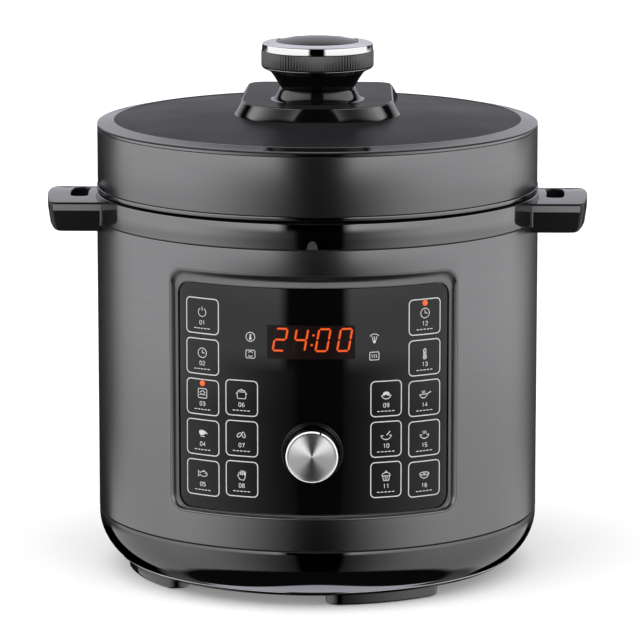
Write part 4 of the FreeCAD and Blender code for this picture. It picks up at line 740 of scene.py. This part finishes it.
def handle_highlight_faces(x, y, z, face):
    """Painted highlight: a lighter strip under the front edge, and the narrow end against the collar."""
    near_body = abs(x) < HANDLE_START + HANDLE_END and z > 216.0
    return y < -34.9 and z < 228.9 and (STRIP_LOW < z < STRIP_HIGH or near_body)


handle_rings = [[(x, y, z) for x, y in handle_inset(across, along)] for across, along, z in HANDLE_LEVELS]
handle_rings.append([(x, y, crown(y) - 1.0) for x, y in handle_inset(0.0, 0.0)])
for step in range(7):
    a = math.radians(15 * step)
    d = EDGE_ROUND * (1 - math.cos(a))
    handle_rings.append([(x, y, crown(y) - EDGE_ROUND * (1 - math.sin(a))) for x, y in handle_inset(d, d)])
handle_rings.append([(x, y, crown(y)) for x, y in handle_inset(1.3, 1.3)])
handle_rings += [[(x, y, crown(y) + lift) for x, y in slot_outline(grow)] for grow, lift in SLOT_MOUTH]
handle_rings += [[(x, y, z) for x, y in slot_outline(grow)] for grow, z in SLOT_UNDER]
handle_verts, handle_faces = loops(handle_rings)
for side, name in ((1, "right"), (-1, "left")):
    verts = [(side * x, y, z) for x, y, z in handle_verts]
    grip = piece("handle_grip_" + name, verts, handle_faces, "housing", HANDLE, "handle", 28.0,
                 ["handle_" + name])
    # the strip and the end against the collar are painted lighter as highlights
    paint(grip, [HANDLE_PAINTED_HIGHLIGHT], handle_highlight_faces)

# --- panel frame and touch panel
PANEL_HALF = math.radians(36.9) * BODY_R
PANEL_LOW, PANEL_HIGH = 59.5, 195.0
# outset, radius and place between the panel's edge (0) and the frame's outer edge (1)
FRAME_RINGS = (
    (-0.08, 131.5, 1.0), (-0.08, 134.75, 1.0), (-0.2, 134.95, 1.0), (-0.5, 135.0, 1.0), (-0.9, 134.85, 0.98),
    (0.0, 133.9, 0.74), (0.0, 133.1, 0.55), (0.0, 132.8, 0.46), (0.0, 132.95, 0.36), (0.0, 133.2, 0.2),
    (0.0, 133.3, 0.12), (0.6, 133.2, 0.04), (0.5, 132.9, 0.0), (0.45, 132.5, 0.0), (0.45, 130.6, 0.0),
    (-3.0, 130.6, 0.0), (-3.0, 129.0, 0.0), (0.0, 129.0, 1.0),
)
LIP_FIRST, LIP_LAST = 7, 12         # rings of the lip next to the panel
PANEL_RINGS = ((-0.05, 130.7, 0.0), (-0.05, 132.15, 0.0), (-0.15, 132.4, 0.0), (-0.4, 132.5, 0.0))


def frame_layer(outset, radius, t):
    """Outline between the panel's edge (t=0) and the frame's outer edge (t=1)."""
    half = PANEL_HALF + (WINDOW_HALF - PANEL_HALF) * t + outset
    z0 = PANEL_LOW + (WINDOW_LOW - PANEL_LOW) * t - outset
    z1 = PANEL_HIGH + (WINDOW_HIGH - PANEL_HIGH) * t + outset
    return [wrap(u, z, radius) for u, z in window(half, z0, z1, 8.0 + 1.5 * t + outset)]


frame_rings = [frame_layer(*ring) for ring in FRAME_RINGS]
ring_size = len(frame_rings[0])


def frame_finish(x, y, z, face):
    corners = [v // ring_size for v in face.vertices]
    return LIP_FIRST <= min(corners) and max(corners) <= LIP_LAST


panel_frame = piece("panel_frame", *loops(frame_rings), "housing", BEZEL, "bezel", 40.0, ["panel_bezel"])
paint(panel_frame, [BEZEL_LIP], frame_finish)
panel_layers = [frame_layer(*ring) for ring in PANEL_RINGS]
piece("touch_panel", *plate(panel_layers), "housing", PANEL, "panel", 30.0, ["control_panel"])

# --- printed graphics on the panel
PRINT_IN, PRINT_OUT = 132.45, 132.53    # the inlays stand just proud of the panel
LINE = 0.42             # line width of the small symbols


def slab(name, shapes, material, slot="panel", inner=PRINT_IN, outer=PRINT_OUT, base=PANEL_R):
    """Thin closed inlays from flat shapes of (u, z) vertices and faces, wrapped on the panel."""
    verts, faces = [], []
    for flat_verts, flat_faces in shapes:
        start = len(verts)
        n = len(flat_verts)
        verts += [wrap(u, z, radius, base) for radius in (outer, inner) for u, z in flat_verts]
        count = {}
        for face in flat_faces:
            faces.append(tuple(start + i for i in face))
            faces.append(tuple(start + n + i for i in reversed(face)))
            for a, b in zip(face, face[1:] + face[:1]):
                count.setdefault((min(a, b), max(a, b)), []).append((a, b))
        for uses in count.values():
            if len(uses) == 1:
                a, b = uses[0]
                faces.append((start + b, start + a, start + n + a, start + n + b))
    return piece(name, verts, faces, "housing", material, slot, 40.0)


def stroke(points, width=LINE, closed=False):
    """Flat stroke of even width along points."""
    n = len(points)
    steps = [(Vector(points[(i + 1) % n]) - Vector(points[i])).normalized() for i in range(n)]
    left, right = [], []
    for i, point in enumerate(points):
        here = Vector(point)
        d0 = steps[i - 1] if i > 0 or closed else steps[0]
        d1 = steps[i] if i < n - 1 or closed else steps[n - 2]
        t = d0 + d1
        t = t.normalized() if t.length > 1e-6 else d1
        normal = Vector((-t.y, t.x))
        miter = 1.0 / max(normal.dot(Vector((-d1.y, d1.x))), 0.5)
        left.append(tuple(here + normal * (0.5 * width * miter)))
        right.append(tuple(here - normal * (0.5 * width * miter)))
    faces = [[i, (i + 1) % n, n + (i + 1) % n, n + i] for i in range(n if closed else n - 1)]
    return left + right, faces


def fill(points):
    return list(points), [list(range(len(points)))]


def disc(cx, cy, r, n, ry=None):
    return fill(arc(cx, cy, r, 0, 360 - 360 / n, n - 1, ry))


def moved(shapes, u, z):
    """Flat shapes, shifted to their place on the panel."""
    return [([(x + u, y + z) for x, y in verts], faces) for verts, faces in shapes]


def box_path(half, z0, z1, corner, steps=5, columns=6):
    """Closed rounded rectangle path, dense enough to follow the panel's curve."""
    x, low, high = half - corner, z0 + corner, z1 - corner
    path = []
    for cx, cz, a0 in ((x, high, 0), (-x, high, 90), (-x, low, 180), (x, low, 270)):
        path += arc(cx, cz, corner, a0, a0 + 90, steps)
    dense = []
    for i, p in enumerate(path):
        q = path[(i + 1) % len(path)]
        dense.append(p)
        if math.dist(p, q) > 3:
            dense += [(p[0] + (q[0] - p[0]) * k / columns, p[1] + (q[1] - p[1]) * k / columns)
                      for k in range(1, columns)]
    return dense


DIGITS = {
    "0": [[(0.15, 0), (0.45, 0), (0.6, 0.2), (0.6, 0.8), (0.45, 1), (0.15, 1), (0, 0.8), (0, 0.2),
           (0.15, 0)]],
    "1": [[(0.12, 0.78), (0.34, 1), (0.34, 0)]],
    "2": [[(0, 0.82), (0.15, 1), (0.45, 1), (0.6, 0.82), (0.6, 0.62), (0, 0), (0.6, 0)]],
    "3": [[(0, 0.88), (0.15, 1), (0.45, 1), (0.58, 0.86), (0.58, 0.66), (0.42, 0.53), (0.2, 0.53)],
          [(0.42, 0.53), (0.6, 0.4), (0.6, 0.16), (0.45, 0), (0.15, 0), (0, 0.12)]],
    "4": [[(0.45, 0), (0.45, 1), (0, 0.3), (0.62, 0.3)]],
    "5": [[(0.56, 1), (0.06, 1), (0.02, 0.55), (0.4, 0.6), (0.6, 0.44), (0.6, 0.16), (0.42, 0), (0.14, 0),
           (0, 0.12)]],
    "6": [[(0.52, 0.95), (0.2, 0.98), (0.02, 0.7), (0, 0.2), (0.16, 0), (0.44, 0), (0.6, 0.17), (0.6, 0.4),
           (0.44, 0.56), (0.16, 0.56), (0.02, 0.42)]],
    "7": [[(0, 1), (0.6, 1), (0.22, 0)]],
    "8": [[(0.3, 0.54), (0.06, 0.7), (0.06, 0.86), (0.2, 1), (0.4, 1), (0.54, 0.86), (0.54, 0.7), (0.3, 0.54),
           (0.02, 0.36), (0, 0.16), (0.16, 0), (0.44, 0), (0.6, 0.16), (0.58, 0.36), (0.3, 0.54)]],
    "9": [[(0.08, 0.05), (0.4, 0.02), (0.58, 0.3), (0.6, 0.8), (0.44, 1), (0.16, 1), (0, 0.83), (0, 0.6),
           (0.16, 0.44), (0.44, 0.44), (0.58, 0.58)]],
}


def number(text, cx, cy, height, width):
    """Plain numerals centred at a place."""
    shapes = []
    pitch = 0.92 * height
    start = cx - 0.5 * (pitch * (len(text) - 1) + 0.6 * height)
    for i, char in enumerate(text):
        for path in DIGITS[char]:
            shapes.append(stroke([(start + i * pitch + x * height, cy + (y - 0.5) * height) for x, y in path],
                                 width))
    return shapes


def steam(cx, cy, size):
    """Three wavy lines that rise from a place."""
    starts = [cx + i * 1.1 * size for i in (-1, 0, 1)]
    return [stroke([(x + 0.22 * size * math.sin(k * 1.05), cy + 0.32 * size * k) for k in range(7)],
                   LINE * 0.8) for x in starts]


def bean(cx, cy, tilt):
    """Outline of one bean, turned by tilt."""
    c, s = math.cos(math.radians(tilt)), math.sin(math.radians(tilt))
    path = []
    for k in range(18):
        a = turn(k, 18)
        px, py = 1.75 * math.cos(a), (1.05 - 0.3 * max(-math.sin(a), 0)) * math.sin(a)
        path.append((cx + px * c - py * s, cy + px * s + py * c))
    return stroke(path, LINE, True)


def finger(i, top):
    cx = -1.4 + i * 1.15
    left, right = cx - 0.42, cx + 0.42
    return stroke([(left, 0.2), (left, top - 0.3), (cx, top), (right, top - 0.3), (right, 0.2)], LINE * 0.8)


def bowl_line(x, y, width, depth):
    """An open bowl: its brim, its side and its foot."""
    return [stroke([(x - width - 0.3, y), (x + width + 0.3, y)]),
            stroke(arc(x, y, width, 182, 358, 16, depth)),
            stroke([(x - 1.0, y - depth - 0.1), (x + 1.0, y - depth - 0.1)])]


# Generic symbols round their own middle, in key order: the left columns, then the right ones.
POWER = [stroke(arc(0, 0, 2.6, 120, 420, 22)), stroke([(0, 0.9), (0, 3.3)])]
CLOCK = [stroke(arc(0, 0, 2.9, 0, 345, 23), LINE, True), stroke([(0, 1.9), (0, 0), (1.6, 0)])]
STEAMER = [stroke(box_path(3.0, -2.8, 2.8, 0.7, 3, 2), LINE, True),
           stroke([(-2, -1.2), (-1, -0.2), (0, -1.0), (1, -0.2), (2, -1.2)]),
           stroke([(-2, 0.4), (0, 1.7), (2, 0.4)])]
DRUMSTICK = [fill([(-2.6, 0.6), (-2.2, 1.9), (-0.8, 2.3), (1.0, 2.0), (2.5, 1.2), (1.6, -0.2), (0.2, -0.9),
                   (-1.6, -1.0)]),
             stroke([(2.0, 0.9), (3.2, 0.2)], 0.7), stroke([(-1.6, -1.6), (1.4, -1.7)])]
FISH = [stroke(arc(0.5, 0, 2.5, 160, -160, 20, 1.5)),
        stroke([(-1.85, 0.5), (-3.3, 1.7), (-3.0, 0), (-3.3, -1.7), (-1.85, -0.5)]),
        disc(1.8, 0.35, 0.3, 8), stroke([(0, 1.5), (0.5, 2.2), (1.4, 1.5)])]
COOKPOT = [stroke(box_path(2.7, -2.5, 1.5, 0.6, 3, 2), LINE, True), stroke([(-3.4, 0.5), (-2.8, 0.5)], 0.8),
           stroke([(2.8, 0.5), (3.4, 0.5)], 0.8), stroke(arc(0, 1.7, 2.4, 10, 170, 10, 0.9)),
           disc(0, 2.9, 0.45, 8)]
BEANS = [bean(-1.4, -0.2, 40), bean(1.3, 0.1, 110)]
HAND = [stroke([(-1.9, 0.4), (-2.6, -0.2), (-1.2, -2.6), (1.3, -2.9), (2.1, -1.2), (2.1, 1.2)])]
HAND += [finger(i, top) for i, top in enumerate((1.9, 2.7, 2.9, 2.3))]
RICE = [fill(arc(0, 0.1, 2.3, 0, 180, 10, 1.9))] + bowl_line(0, -0.3, 2.8, 2.0)
PORRIDGE = bowl_line(0, 0, 3.1, 2.4) + [stroke([(0.3, 0.2), (2.5, 2.5)], 0.55)]
CUPCAKE = [stroke([(-2.2, 0), (-1.6, -2.8), (1.6, -2.8), (2.2, 0)], LINE, True),
           stroke(arc(0, 0.1, 2.6, 0, 180, 12, 1.9)), stroke([(-0.6, -0.2), (-0.5, -2.6)], LINE * 0.8),
           stroke([(0.6, -0.2), (0.5, -2.6)], LINE * 0.8), stroke([(-0.9, 1.9), (0, 3.0), (0.9, 1.9)])]
THERMOMETER = [stroke([(-0.75, -1.2), (-0.75, 2.3)] + arc(0, 2.3, 0.75, 180, 0, 6) + [(0.75, -1.2)]
                      + arc(0, -2.0, 1.15, 45, -225, 12)),
               disc(0, -2.0, 0.6, 10), stroke([(0, -1.8), (0, 1.2)], 0.5)]
PAN = bowl_line(-0.8, 0, 2.4, 2.1) + [stroke([(1.8, 0.1), (4.3, 1.3)], 0.6)] + steam(-0.8, 0.6, 0.8)
SOUP = bowl_line(0, 0, 2.9, 2.2) + steam(0, 0.6, 0.9)
YOGURT = [stroke(arc(0, 0.8, 3.2, 0, 345, 23, 0.9), LINE, True), stroke(arc(0, 0.6, 2.9, 190, 350, 14, 2.6)),
          disc(0, 0.8, 0.9, 10, 0.3)]
BADGE = [stroke(arc(0, 0, 2.7, 0, 345, 23), LINE, True), stroke([(0, 1.5), (0, -0.6)], 0.9),
         disc(0, -1.0, 0.8, 10)]
SCREEN = stroke(box_path(2.8, -2.4, 2.3, 0.6, 3, 2), LINE, True)
LID_SIGN = [SCREEN, stroke(arc(0, 0, 1.5, 30, 150, 8)), stroke(arc(0, 0, 1.5, 210, 330, 8))]
VALVE = [stroke([(-2.8, 1.4)] + arc(0, 0.9, 2.6, 160, 20, 8, 1.6) + [(2.8, 1.4)])]
VALVE += [stroke([(x * 1.4, 1.2), (x * 0.6, -2.0)]) for x in (-1.1, 0.0, 1.1)] + [disc(0, -2.2, 0.8, 10)]
HEAT = [SCREEN] + steam(0, -1.2, 1.15)

KEY_H, KEY_PITCH, KEY_TOP = 21.1, 24.4, 175.65
INNER_DROP = 47.25      # the inner columns start two rows lower


def key_u(degrees):
    """Arc length on the panel of an angle from the front."""
    return math.radians(degrees) * PANEL_R


LEFT_OUT, RIGHT_OUT = key_u(-29.6), key_u(29.85)
# middle, top row, half width and symbols of each column
COLUMNS = (
    (LEFT_OUT, KEY_TOP, 11.05, (POWER, CLOCK, STEAMER, DRUMSTICK, FISH)),
    (key_u(-18.45), KEY_TOP - INNER_DROP, 9.95, (COOKPOT, BEANS, HAND)),
    (key_u(19.1), KEY_TOP - INNER_DROP, 9.45, (RICE, PORRIDGE, CUPCAKE)),
    (RIGHT_OUT, KEY_TOP, 10.5, (CLOCK, THERMOMETER, PAN, SOUP, YOGURT)),
)
STATUS = ((-16.0, 165.5, BADGE), (-16.0, 155.2, LID_SIGN), (15.9, 165.0, VALVE), (15.9, 154.4, HEAT))
outlines, symbols, numbers = [], [], []
for u, top, half_width, column in COLUMNS:
    for row, symbol in enumerate(column):
        z = top - row * KEY_PITCH
        key_path = box_path(half_width, -0.5 * KEY_H, 0.5 * KEY_H, 2.6)
        outlines += moved([stroke(key_path, 0.6, True)], u, z)
        symbols += moved(symbol, u, z + 2.2)
        numbers += number("%02d" % len(outlines), u, z - 4.0, 2.3, 0.36)
        bars = [stroke([(-5.6 + 2.3 * k, -7.5), (-4.0 + 2.3 * k, -7.5)], 0.5) for k in range(5)]
        numbers += moved(bars, u, z)
for azimuth, z, symbol in STATUS:
    symbols += moved(symbol, key_u(azimuth), z)
collar_sign = fill(arc(0.0, 218.75, 3.15, 0, 180, 16, 5.0))
slab("collar_mark", [collar_sign], MARK, "collar", 134.9, 135.04, BODY_R)
slab("key_outlines", outlines, PAINT)
slab("key_symbols", symbols, PAINT)
slab("key_numbers", numbers, PAINT)

# --- seven-segment display
SLANT = math.tan(math.radians(10))
SEG_ON = {"2": "abged", "4": "fgbc", "0": "abcdef"}
SEG_W, SEG_H = 3.35, 6.55           # half the size of a digit, to the middle of its bars
SEG_GAP = 0.22
SPANS = {"a": (-1, 1, 1, 1), "g": (-1, 0, 1, 0), "d": (-1, -1, 1, -1), "f": (-1, 1, -1, 0),
         "b": (1, 1, 1, 0), "e": (-1, 0, -1, -1), "c": (1, 0, 1, -1)}


def segments(cx, cz, thick, which):
    """Hexagonal bars of one digit, slanted."""
    shapes = []
    t = thick / 2
    for key in which:
        x0, y0, x1, y1 = (end * size for end, size in zip(SPANS[key], (SEG_W, SEG_H, SEG_W, SEG_H)))
        length = math.dist((x0, y0), (x1, y1))
        dx, dy = (x1 - x0) / length, (y1 - y0) / length
        near, far = SEG_GAP, length - SEG_GAP
        points = []
        for along, off in ((near, 0), (near + t, t), (far - t, t), (far, 0), (far - t, -t), (near + t, -t)):
            x = x0 + dx * along - dy * off
            y = y0 + dy * along + dx * off
            points.append((cx + x + y * SLANT, cz + y))
        shapes.append(fill(points))
    return shapes


display_z = 0.5 * (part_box("display_module")[0].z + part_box("display_module")[1].z) / MM
lit, rim, unlit = [], [], []
for char, u in (("2", -19.0), ("4", -6.9), ("0", 6.25), ("0", 19.0)):
    lit += segments(u, display_z, 1.05, SEG_ON[char])
    rim += segments(u, display_z, 1.55, SEG_ON[char])
    unlit += segments(u, display_z, 1.3, [key for key in "abcdefg" if key not in SEG_ON[char]])
for dy in (-2.9, 2.9):
    lit.append(disc(0.1 + dy * SLANT, display_z + dy, 0.62, 12))
    rim.append(disc(0.1 + dy * SLANT, display_z + dy, 0.9, 12))
# the window is a grid, so that it follows the panel's curve
window_verts = [(-0.8 + 26.0 * (k / 15 - 1), display_z + z) for k in range(31) for z in (-11.5, 8.6)]
window_faces = [[2 * k, 2 * k + 2, 2 * k + 3, 2 * k + 1] for k in range(30)]
# the window glows faintly red: painted light from the digits
slab("display_window", [(window_verts, window_faces)], WINDOW_GLOW, "display", outer=132.51)
slab("display_segments_rim", rim, DIGIT_EDGE, "lights")
slab("display_segments", lit, DIGIT, "lights", outer=132.56)
# the unlit segments are dark red and glow faintly: painted glow
slab("display_segments_dark", unlit, DISPLAY_RED_AND_GLOW, "display", outer=132.52)

# --- indicator lamps
LAMP_R, LAMP_RISE, LAMP_SUNK, LAMP_UP = 1.75, 0.7, 0.3, 8.25
lamp_profile = [(0.0, -LAMP_SUNK), (LAMP_R, -LAMP_SUNK)] + arc(0, 0, LAMP_R, 0, 90, 6, LAMP_RISE)
lamp_verts, lamp_faces = lathe_mesh(lamp_profile, 32, False)
for name, u, row in (("lamp_left", LEFT_OUT, 2), ("lamp_right", RIGHT_OUT, 0)):
    a = u / PANEL_R
    lamp_z = KEY_TOP - row * KEY_PITCH + LAMP_UP
    verts = []
    for x, y, rise in lamp_verts:
        mid_x, mid_y = at(PANEL_R + rise, a)
        verts.append((mid_x + x * math.cos(a), mid_y + x * math.sin(a), lamp_z + y))
    piece(name, verts, lamp_faces, "housing", LAMP_LIT, "lights")

# --- dial
DIAL_Z = 97.5
DIAL_MID = 140.0        # the dial's pieces turn about this place in front of the body's axis
TICK_AT = math.radians(20)
DIAL_PLACE = (0, -DIAL_MID * MM, DIAL_Z * MM)
LEAN = 0.27             # how far the grooves lean the face's normal outwards


def lathe_y(name, profile, body, material, slot, segments_round, replaces):
    """Turned about the dial's axis; the profile is (radius, distance forward of the body's axis)."""
    verts, faces = lathe_mesh(profile, segments_round)
    verts = [(x, DIAL_MID - forward, y) for x, y, forward in verts]
    return piece(name, verts, faces, body, material, slot, SMOOTH, replaces, DIAL_PLACE)


skirt_profile = [(15.6, 133.4, 0.3), (15.4, 146.3, 0.5), (14.65, 147.4, 0.35), (14.1, 147.3, 0.2),
                 (14.0, 146.7), (14.0, 145.0), (0.0, 145.0), (0.0, 143.5), (13.8, 143.5), (14.2, 133.4)]
disc_profile = [(0.0, 146.95), (13.95, 146.9, 0.15), (13.95, 145.2), (0.0, 145.2)]
seat_profile = [(16.3, 134.1, 0.35), (18.1, 134.1, 0.5), (18.1, 131.0), (16.3, 131.0)]
skirt = lathe_y("dial_skirt", soften(skirt_profile), "dial", CHROME, "chrome", 200, ["dial_knob"])
# the skirt's front rim in near-white: a painted highlight
paint(skirt, [DIAL_RIM_HIGHLIGHT], lambda x, y, z, face: -y > 6.35 and math.hypot(x, z) > 14.5)
lathe_y("dial_disc", soften(disc_profile), "dial", SPUN, "steel", 200, ["dial_face"])
lathe_y("dial_seat", soften(seat_profile), "housing", BLACK_GLOSS_AND_NOTCH_SHADE, "inner_plastic", 160, ["dial_surround"])
tick_verts = []
for y in (-7.46, -6.0):
    for x, r in ((-0.45, 14.2), (0.45, 14.2), (0.45, 15.45), (-0.45, 15.45)):
        tick_verts.append((x * math.cos(TICK_AT) + r * math.sin(TICK_AT), y,
                           r * math.cos(TICK_AT) - x * math.sin(TICK_AT)))
tick_faces = [(0, 1, 2, 3), (7, 6, 5, 4), (0, 4, 5, 1), (1, 5, 6, 2), (2, 6, 7, 3), (3, 7, 4, 0)]
piece("dial_tick", tick_verts, tick_faces, "dial", BLACK_GLOSS_AND_NOTCH_SHADE, "inner_plastic", location=DIAL_PLACE)

# the turned grooves run round the dial and lean the face's normal outwards, so that its
# sides catch the light panels
spun_tree = SPUN.node_tree
tangent = add_node(spun_tree, "Tangent", direction_type="RADIAL", axis="Y")
plug(SPUN, tangent.outputs["Tangent"], "Tangent")


def vector_step(operation, a, b=None):
    """One operation on a vector, with a fixed vector or another socket."""
    return add_node(spun_tree, "VectorMath", {0: a, 1: b}, operation=operation).outputs[0]


outward = vector_step("MULTIPLY", add_node(spun_tree, "TexCoord").outputs["Object"], (1, 0, 1))
outward = add_node(spun_tree, "VectorTransform", {0: vector_step("NORMALIZE", outward)},
                   vector_type="VECTOR", convert_from="OBJECT", convert_to="WORLD").outputs[0]
lean = vector_step("MULTIPLY", outward, (LEAN, LEAN, LEAN))
lean = vector_step("ADD", lean, add_node(spun_tree, "NewGeometry").outputs["Normal"])
plug(SPUN, vector_step("NORMALIZE", lean), "Normal")

# --- floor
floor_mesh = bpy.data.meshes.new("floor")
floor_mesh.from_pydata([(-30, -30, 0), (30, -30, 0), (30, 30, 0), (-30, 30, 0)], [], [(0, 1, 2, 3)])
floor = link(bpy.data.objects.new("floor", floor_mesh))
floor_mat = principled("pale_floor", grey(0.8), 0.9, Specular_IOR_Level=0.0)
floor_tree = floor_mat.node_tree
shine = add_node(floor_tree, "Emission", {"Strength": 0.2}).outputs[0]
both = add_node(floor_tree, "AddShader", {0: shader(floor_mat).outputs[0], 1: shine})
floor_tree.links.new(both.outputs[0], floor_tree.nodes["Material Output"].inputs[0])
floor_mesh.materials.append(floor_mat)
floor.visible_glossy = False

# --- studio
world = bpy.data.worlds.new("studio")
scene.world = world
world.use_nodes = True
sky = world.node_tree
direction = add_node(sky, "TexCoord").outputs["Generated"]
east, north, height = add_node(sky, "SeparateXYZ", {0: direction}).outputs


def math_node(operation, a, b=None):
    return add_node(sky, "Math", {0: a, 1: b}, operation=operation).outputs[0]


def times(a, b):
    return math_node("MULTIPLY", a, b)


def span(value, low, high, out_low=0.0, out_high=1.0):
    """A value's way from low to high, clamped."""
    limits = {"Value": value, "From Min": low, "From Max": high, "To Min": out_low, "To Max": out_high}
    return add_node(sky, "MapRange", limits).outputs["Result"]


def turned_span(value, low, high):
    """A span between two angles in degrees."""
    return span(value, math.radians(low), math.radians(high))


def colored(value):
    """A grey or a colour as a socket's value; a socket stays one."""
    if isinstance(value, (int, float)):
        value = grey(value)
    return (*value, 1) if isinstance(value, tuple) else value


def blend(factor, low, high):
    """Mix of two greys, colours or sockets."""
    inputs = {"Factor": factor, 6: colored(low), 7: colored(high)}
    return add_node(sky, "Mix", inputs, data_type="RGBA").outputs[2]


# Two big soft boxes at the sides, black flags in front and behind: brightness of the walls
# by the angle from the front.
STUDIO = [(-180, 0.03), (-165, 0.015), (-150, 0.04), (-138, 0.12), (-130, 0.35), (-121, 0.8), (-110, 0.97),
          (-96, 1.02), (-75, 1.03), (-61, 0.93), (-48, 0.74), (-36, 0.5), (-24, 0.27), (-11, 0.08),
          (-9, 0.006), (0, 0.003), (14, 0.004), (16, 0.09), (24, 0.21), (36, 0.46), (48, 0.7), (61, 0.89),
          (75, 0.97), (100, 1.03), (118, 1.06), (130, 0.9), (142, 0.45), (153, 0.16), (168, 0.05),
          (180, 0.03)]
angle = math_node("ARCTAN2", east, times(north, -1.0))
ramp = add_node(sky, "ValToRGB", {"Fac": span(angle, -math.pi, math.pi)})
elements = ramp.color_ramp.elements     # it starts with two, at 0 and 1
for degrees, _ in STUDIO[1:-1]:
    elements.new((degrees + 180) / 360)
for element, (_, value) in zip(elements, STUDIO):
    element.color = colored(value)
around = ramp.outputs["Color"]
turned = math_node("ABSOLUTE", angle)

# light panels above the horizon, parted by a dark gap in front that widens with height
gap = times(span(height, 0.2, 0.6), math.radians(6.0))
panels = times(turned_span(math_node("SUBTRACT", turned, gap), 14.0, 19.0), turned_span(turned, 130.0, 123.0))
panels = times(panels, span(height, 0.1, 0.35, 1.0, 1.7))

# walls at and below the horizon, dimmer and then wider lower down, for the base bowl
walls = blend(span(height, -0.23, -0.15, 0.74, 1.0), 0.0, around)
outer = times(turned_span(angle, -142.0, -139.5), turned_span(angle, 153.5, 151.0))
bowl_sides = blend(turned_span(turned, 80.0, 92.0), around, outer)
bowl_sides = blend(span(height, -0.75, -0.25, 0.64, 0.8), 0.0, bowl_sides)
walls = blend(span(height, -0.24, -0.3), walls, bowl_sides)
sides = blend(span(height, -0.1, -0.03), walls, panels)
sides = blend(span(height, 0.62, 0.8), sides, 0.03)

# the white backdrop behind, which the tops mirror
backdrop = times(span(height, -0.04, 0.0), span(height, 0.62, 0.42))
backdrop = times(backdrop, span(north, 0.72, 0.88))
wall_light = blend(span(height, 0.15, 0.33), (0.7, 0.7, 0.77), (0.95, 0.95, 1.02))
upper = blend(backdrop, sides, wall_light)

# dark below, with one bright crescent that the underside of the bowl mirrors
slope = math_node("SUBTRACT", times(north, 0.35), height)
under = blend(span(slope, 0.86, 0.90), upper, 0.18)
lower = blend(span(height, -0.76, -0.80), under, 0.015)
across = times(east, east)
near_edge = math_node("SUBTRACT", north, times(across, 5.0))
far_edge = math_node("SUBTRACT", north, times(across, 1.2))
crescent = times(span(near_edge, -0.05, -0.01), span(far_edge, 0.41, 0.37))
crescent = times(crescent, span(height, -0.6, -0.66))
studio = blend(crescent, lower, (1.6, 1.6, 1.75))

# the camera sees plain white, also through clear pieces
rays = add_node(sky, "LightPath").outputs
seen = math_node("MAXIMUM", rays["Is Camera Ray"], rays["Is Transmission Ray"])
sky.links.new(blend(seen, studio, (1, 1, 1)), sky.nodes["Background"].inputs["Color"])

sun_data = bpy.data.lights.new("soft_sun", "SUN")
sun_data.energy = 2.6
sun_data.angle = math.radians(80)
sun = link(bpy.data.objects.new("soft_sun", sun_data))
sun.rotation_euler = (math.radians(14), math.radians(-3), 0)
sun.visible_glossy = False

# --- camera, solved from the photo
CAMERA_AZIMUTH, CAMERA_PITCH = math.radians(1.3), math.radians(10.6335)
CAMERA_AWAY, CAMERA_HEIGHT = 2.643, 0.648       # metres
camera_data = bpy.data.cameras.new("camera")
camera_data.lens = 245.5
camera_data.sensor_width = 36
camera_data.shift_x = 0.0039
camera = link(bpy.data.objects.new("camera", camera_data))
camera.location = (*at(CAMERA_AWAY, CAMERA_AZIMUTH), CAMERA_HEIGHT)
camera.rotation_euler = (math.pi / 2 - CAMERA_PITCH, 0, CAMERA_AZIMUTH)
scene.camera = camera
scene.view_settings.view_transform = "Standard"
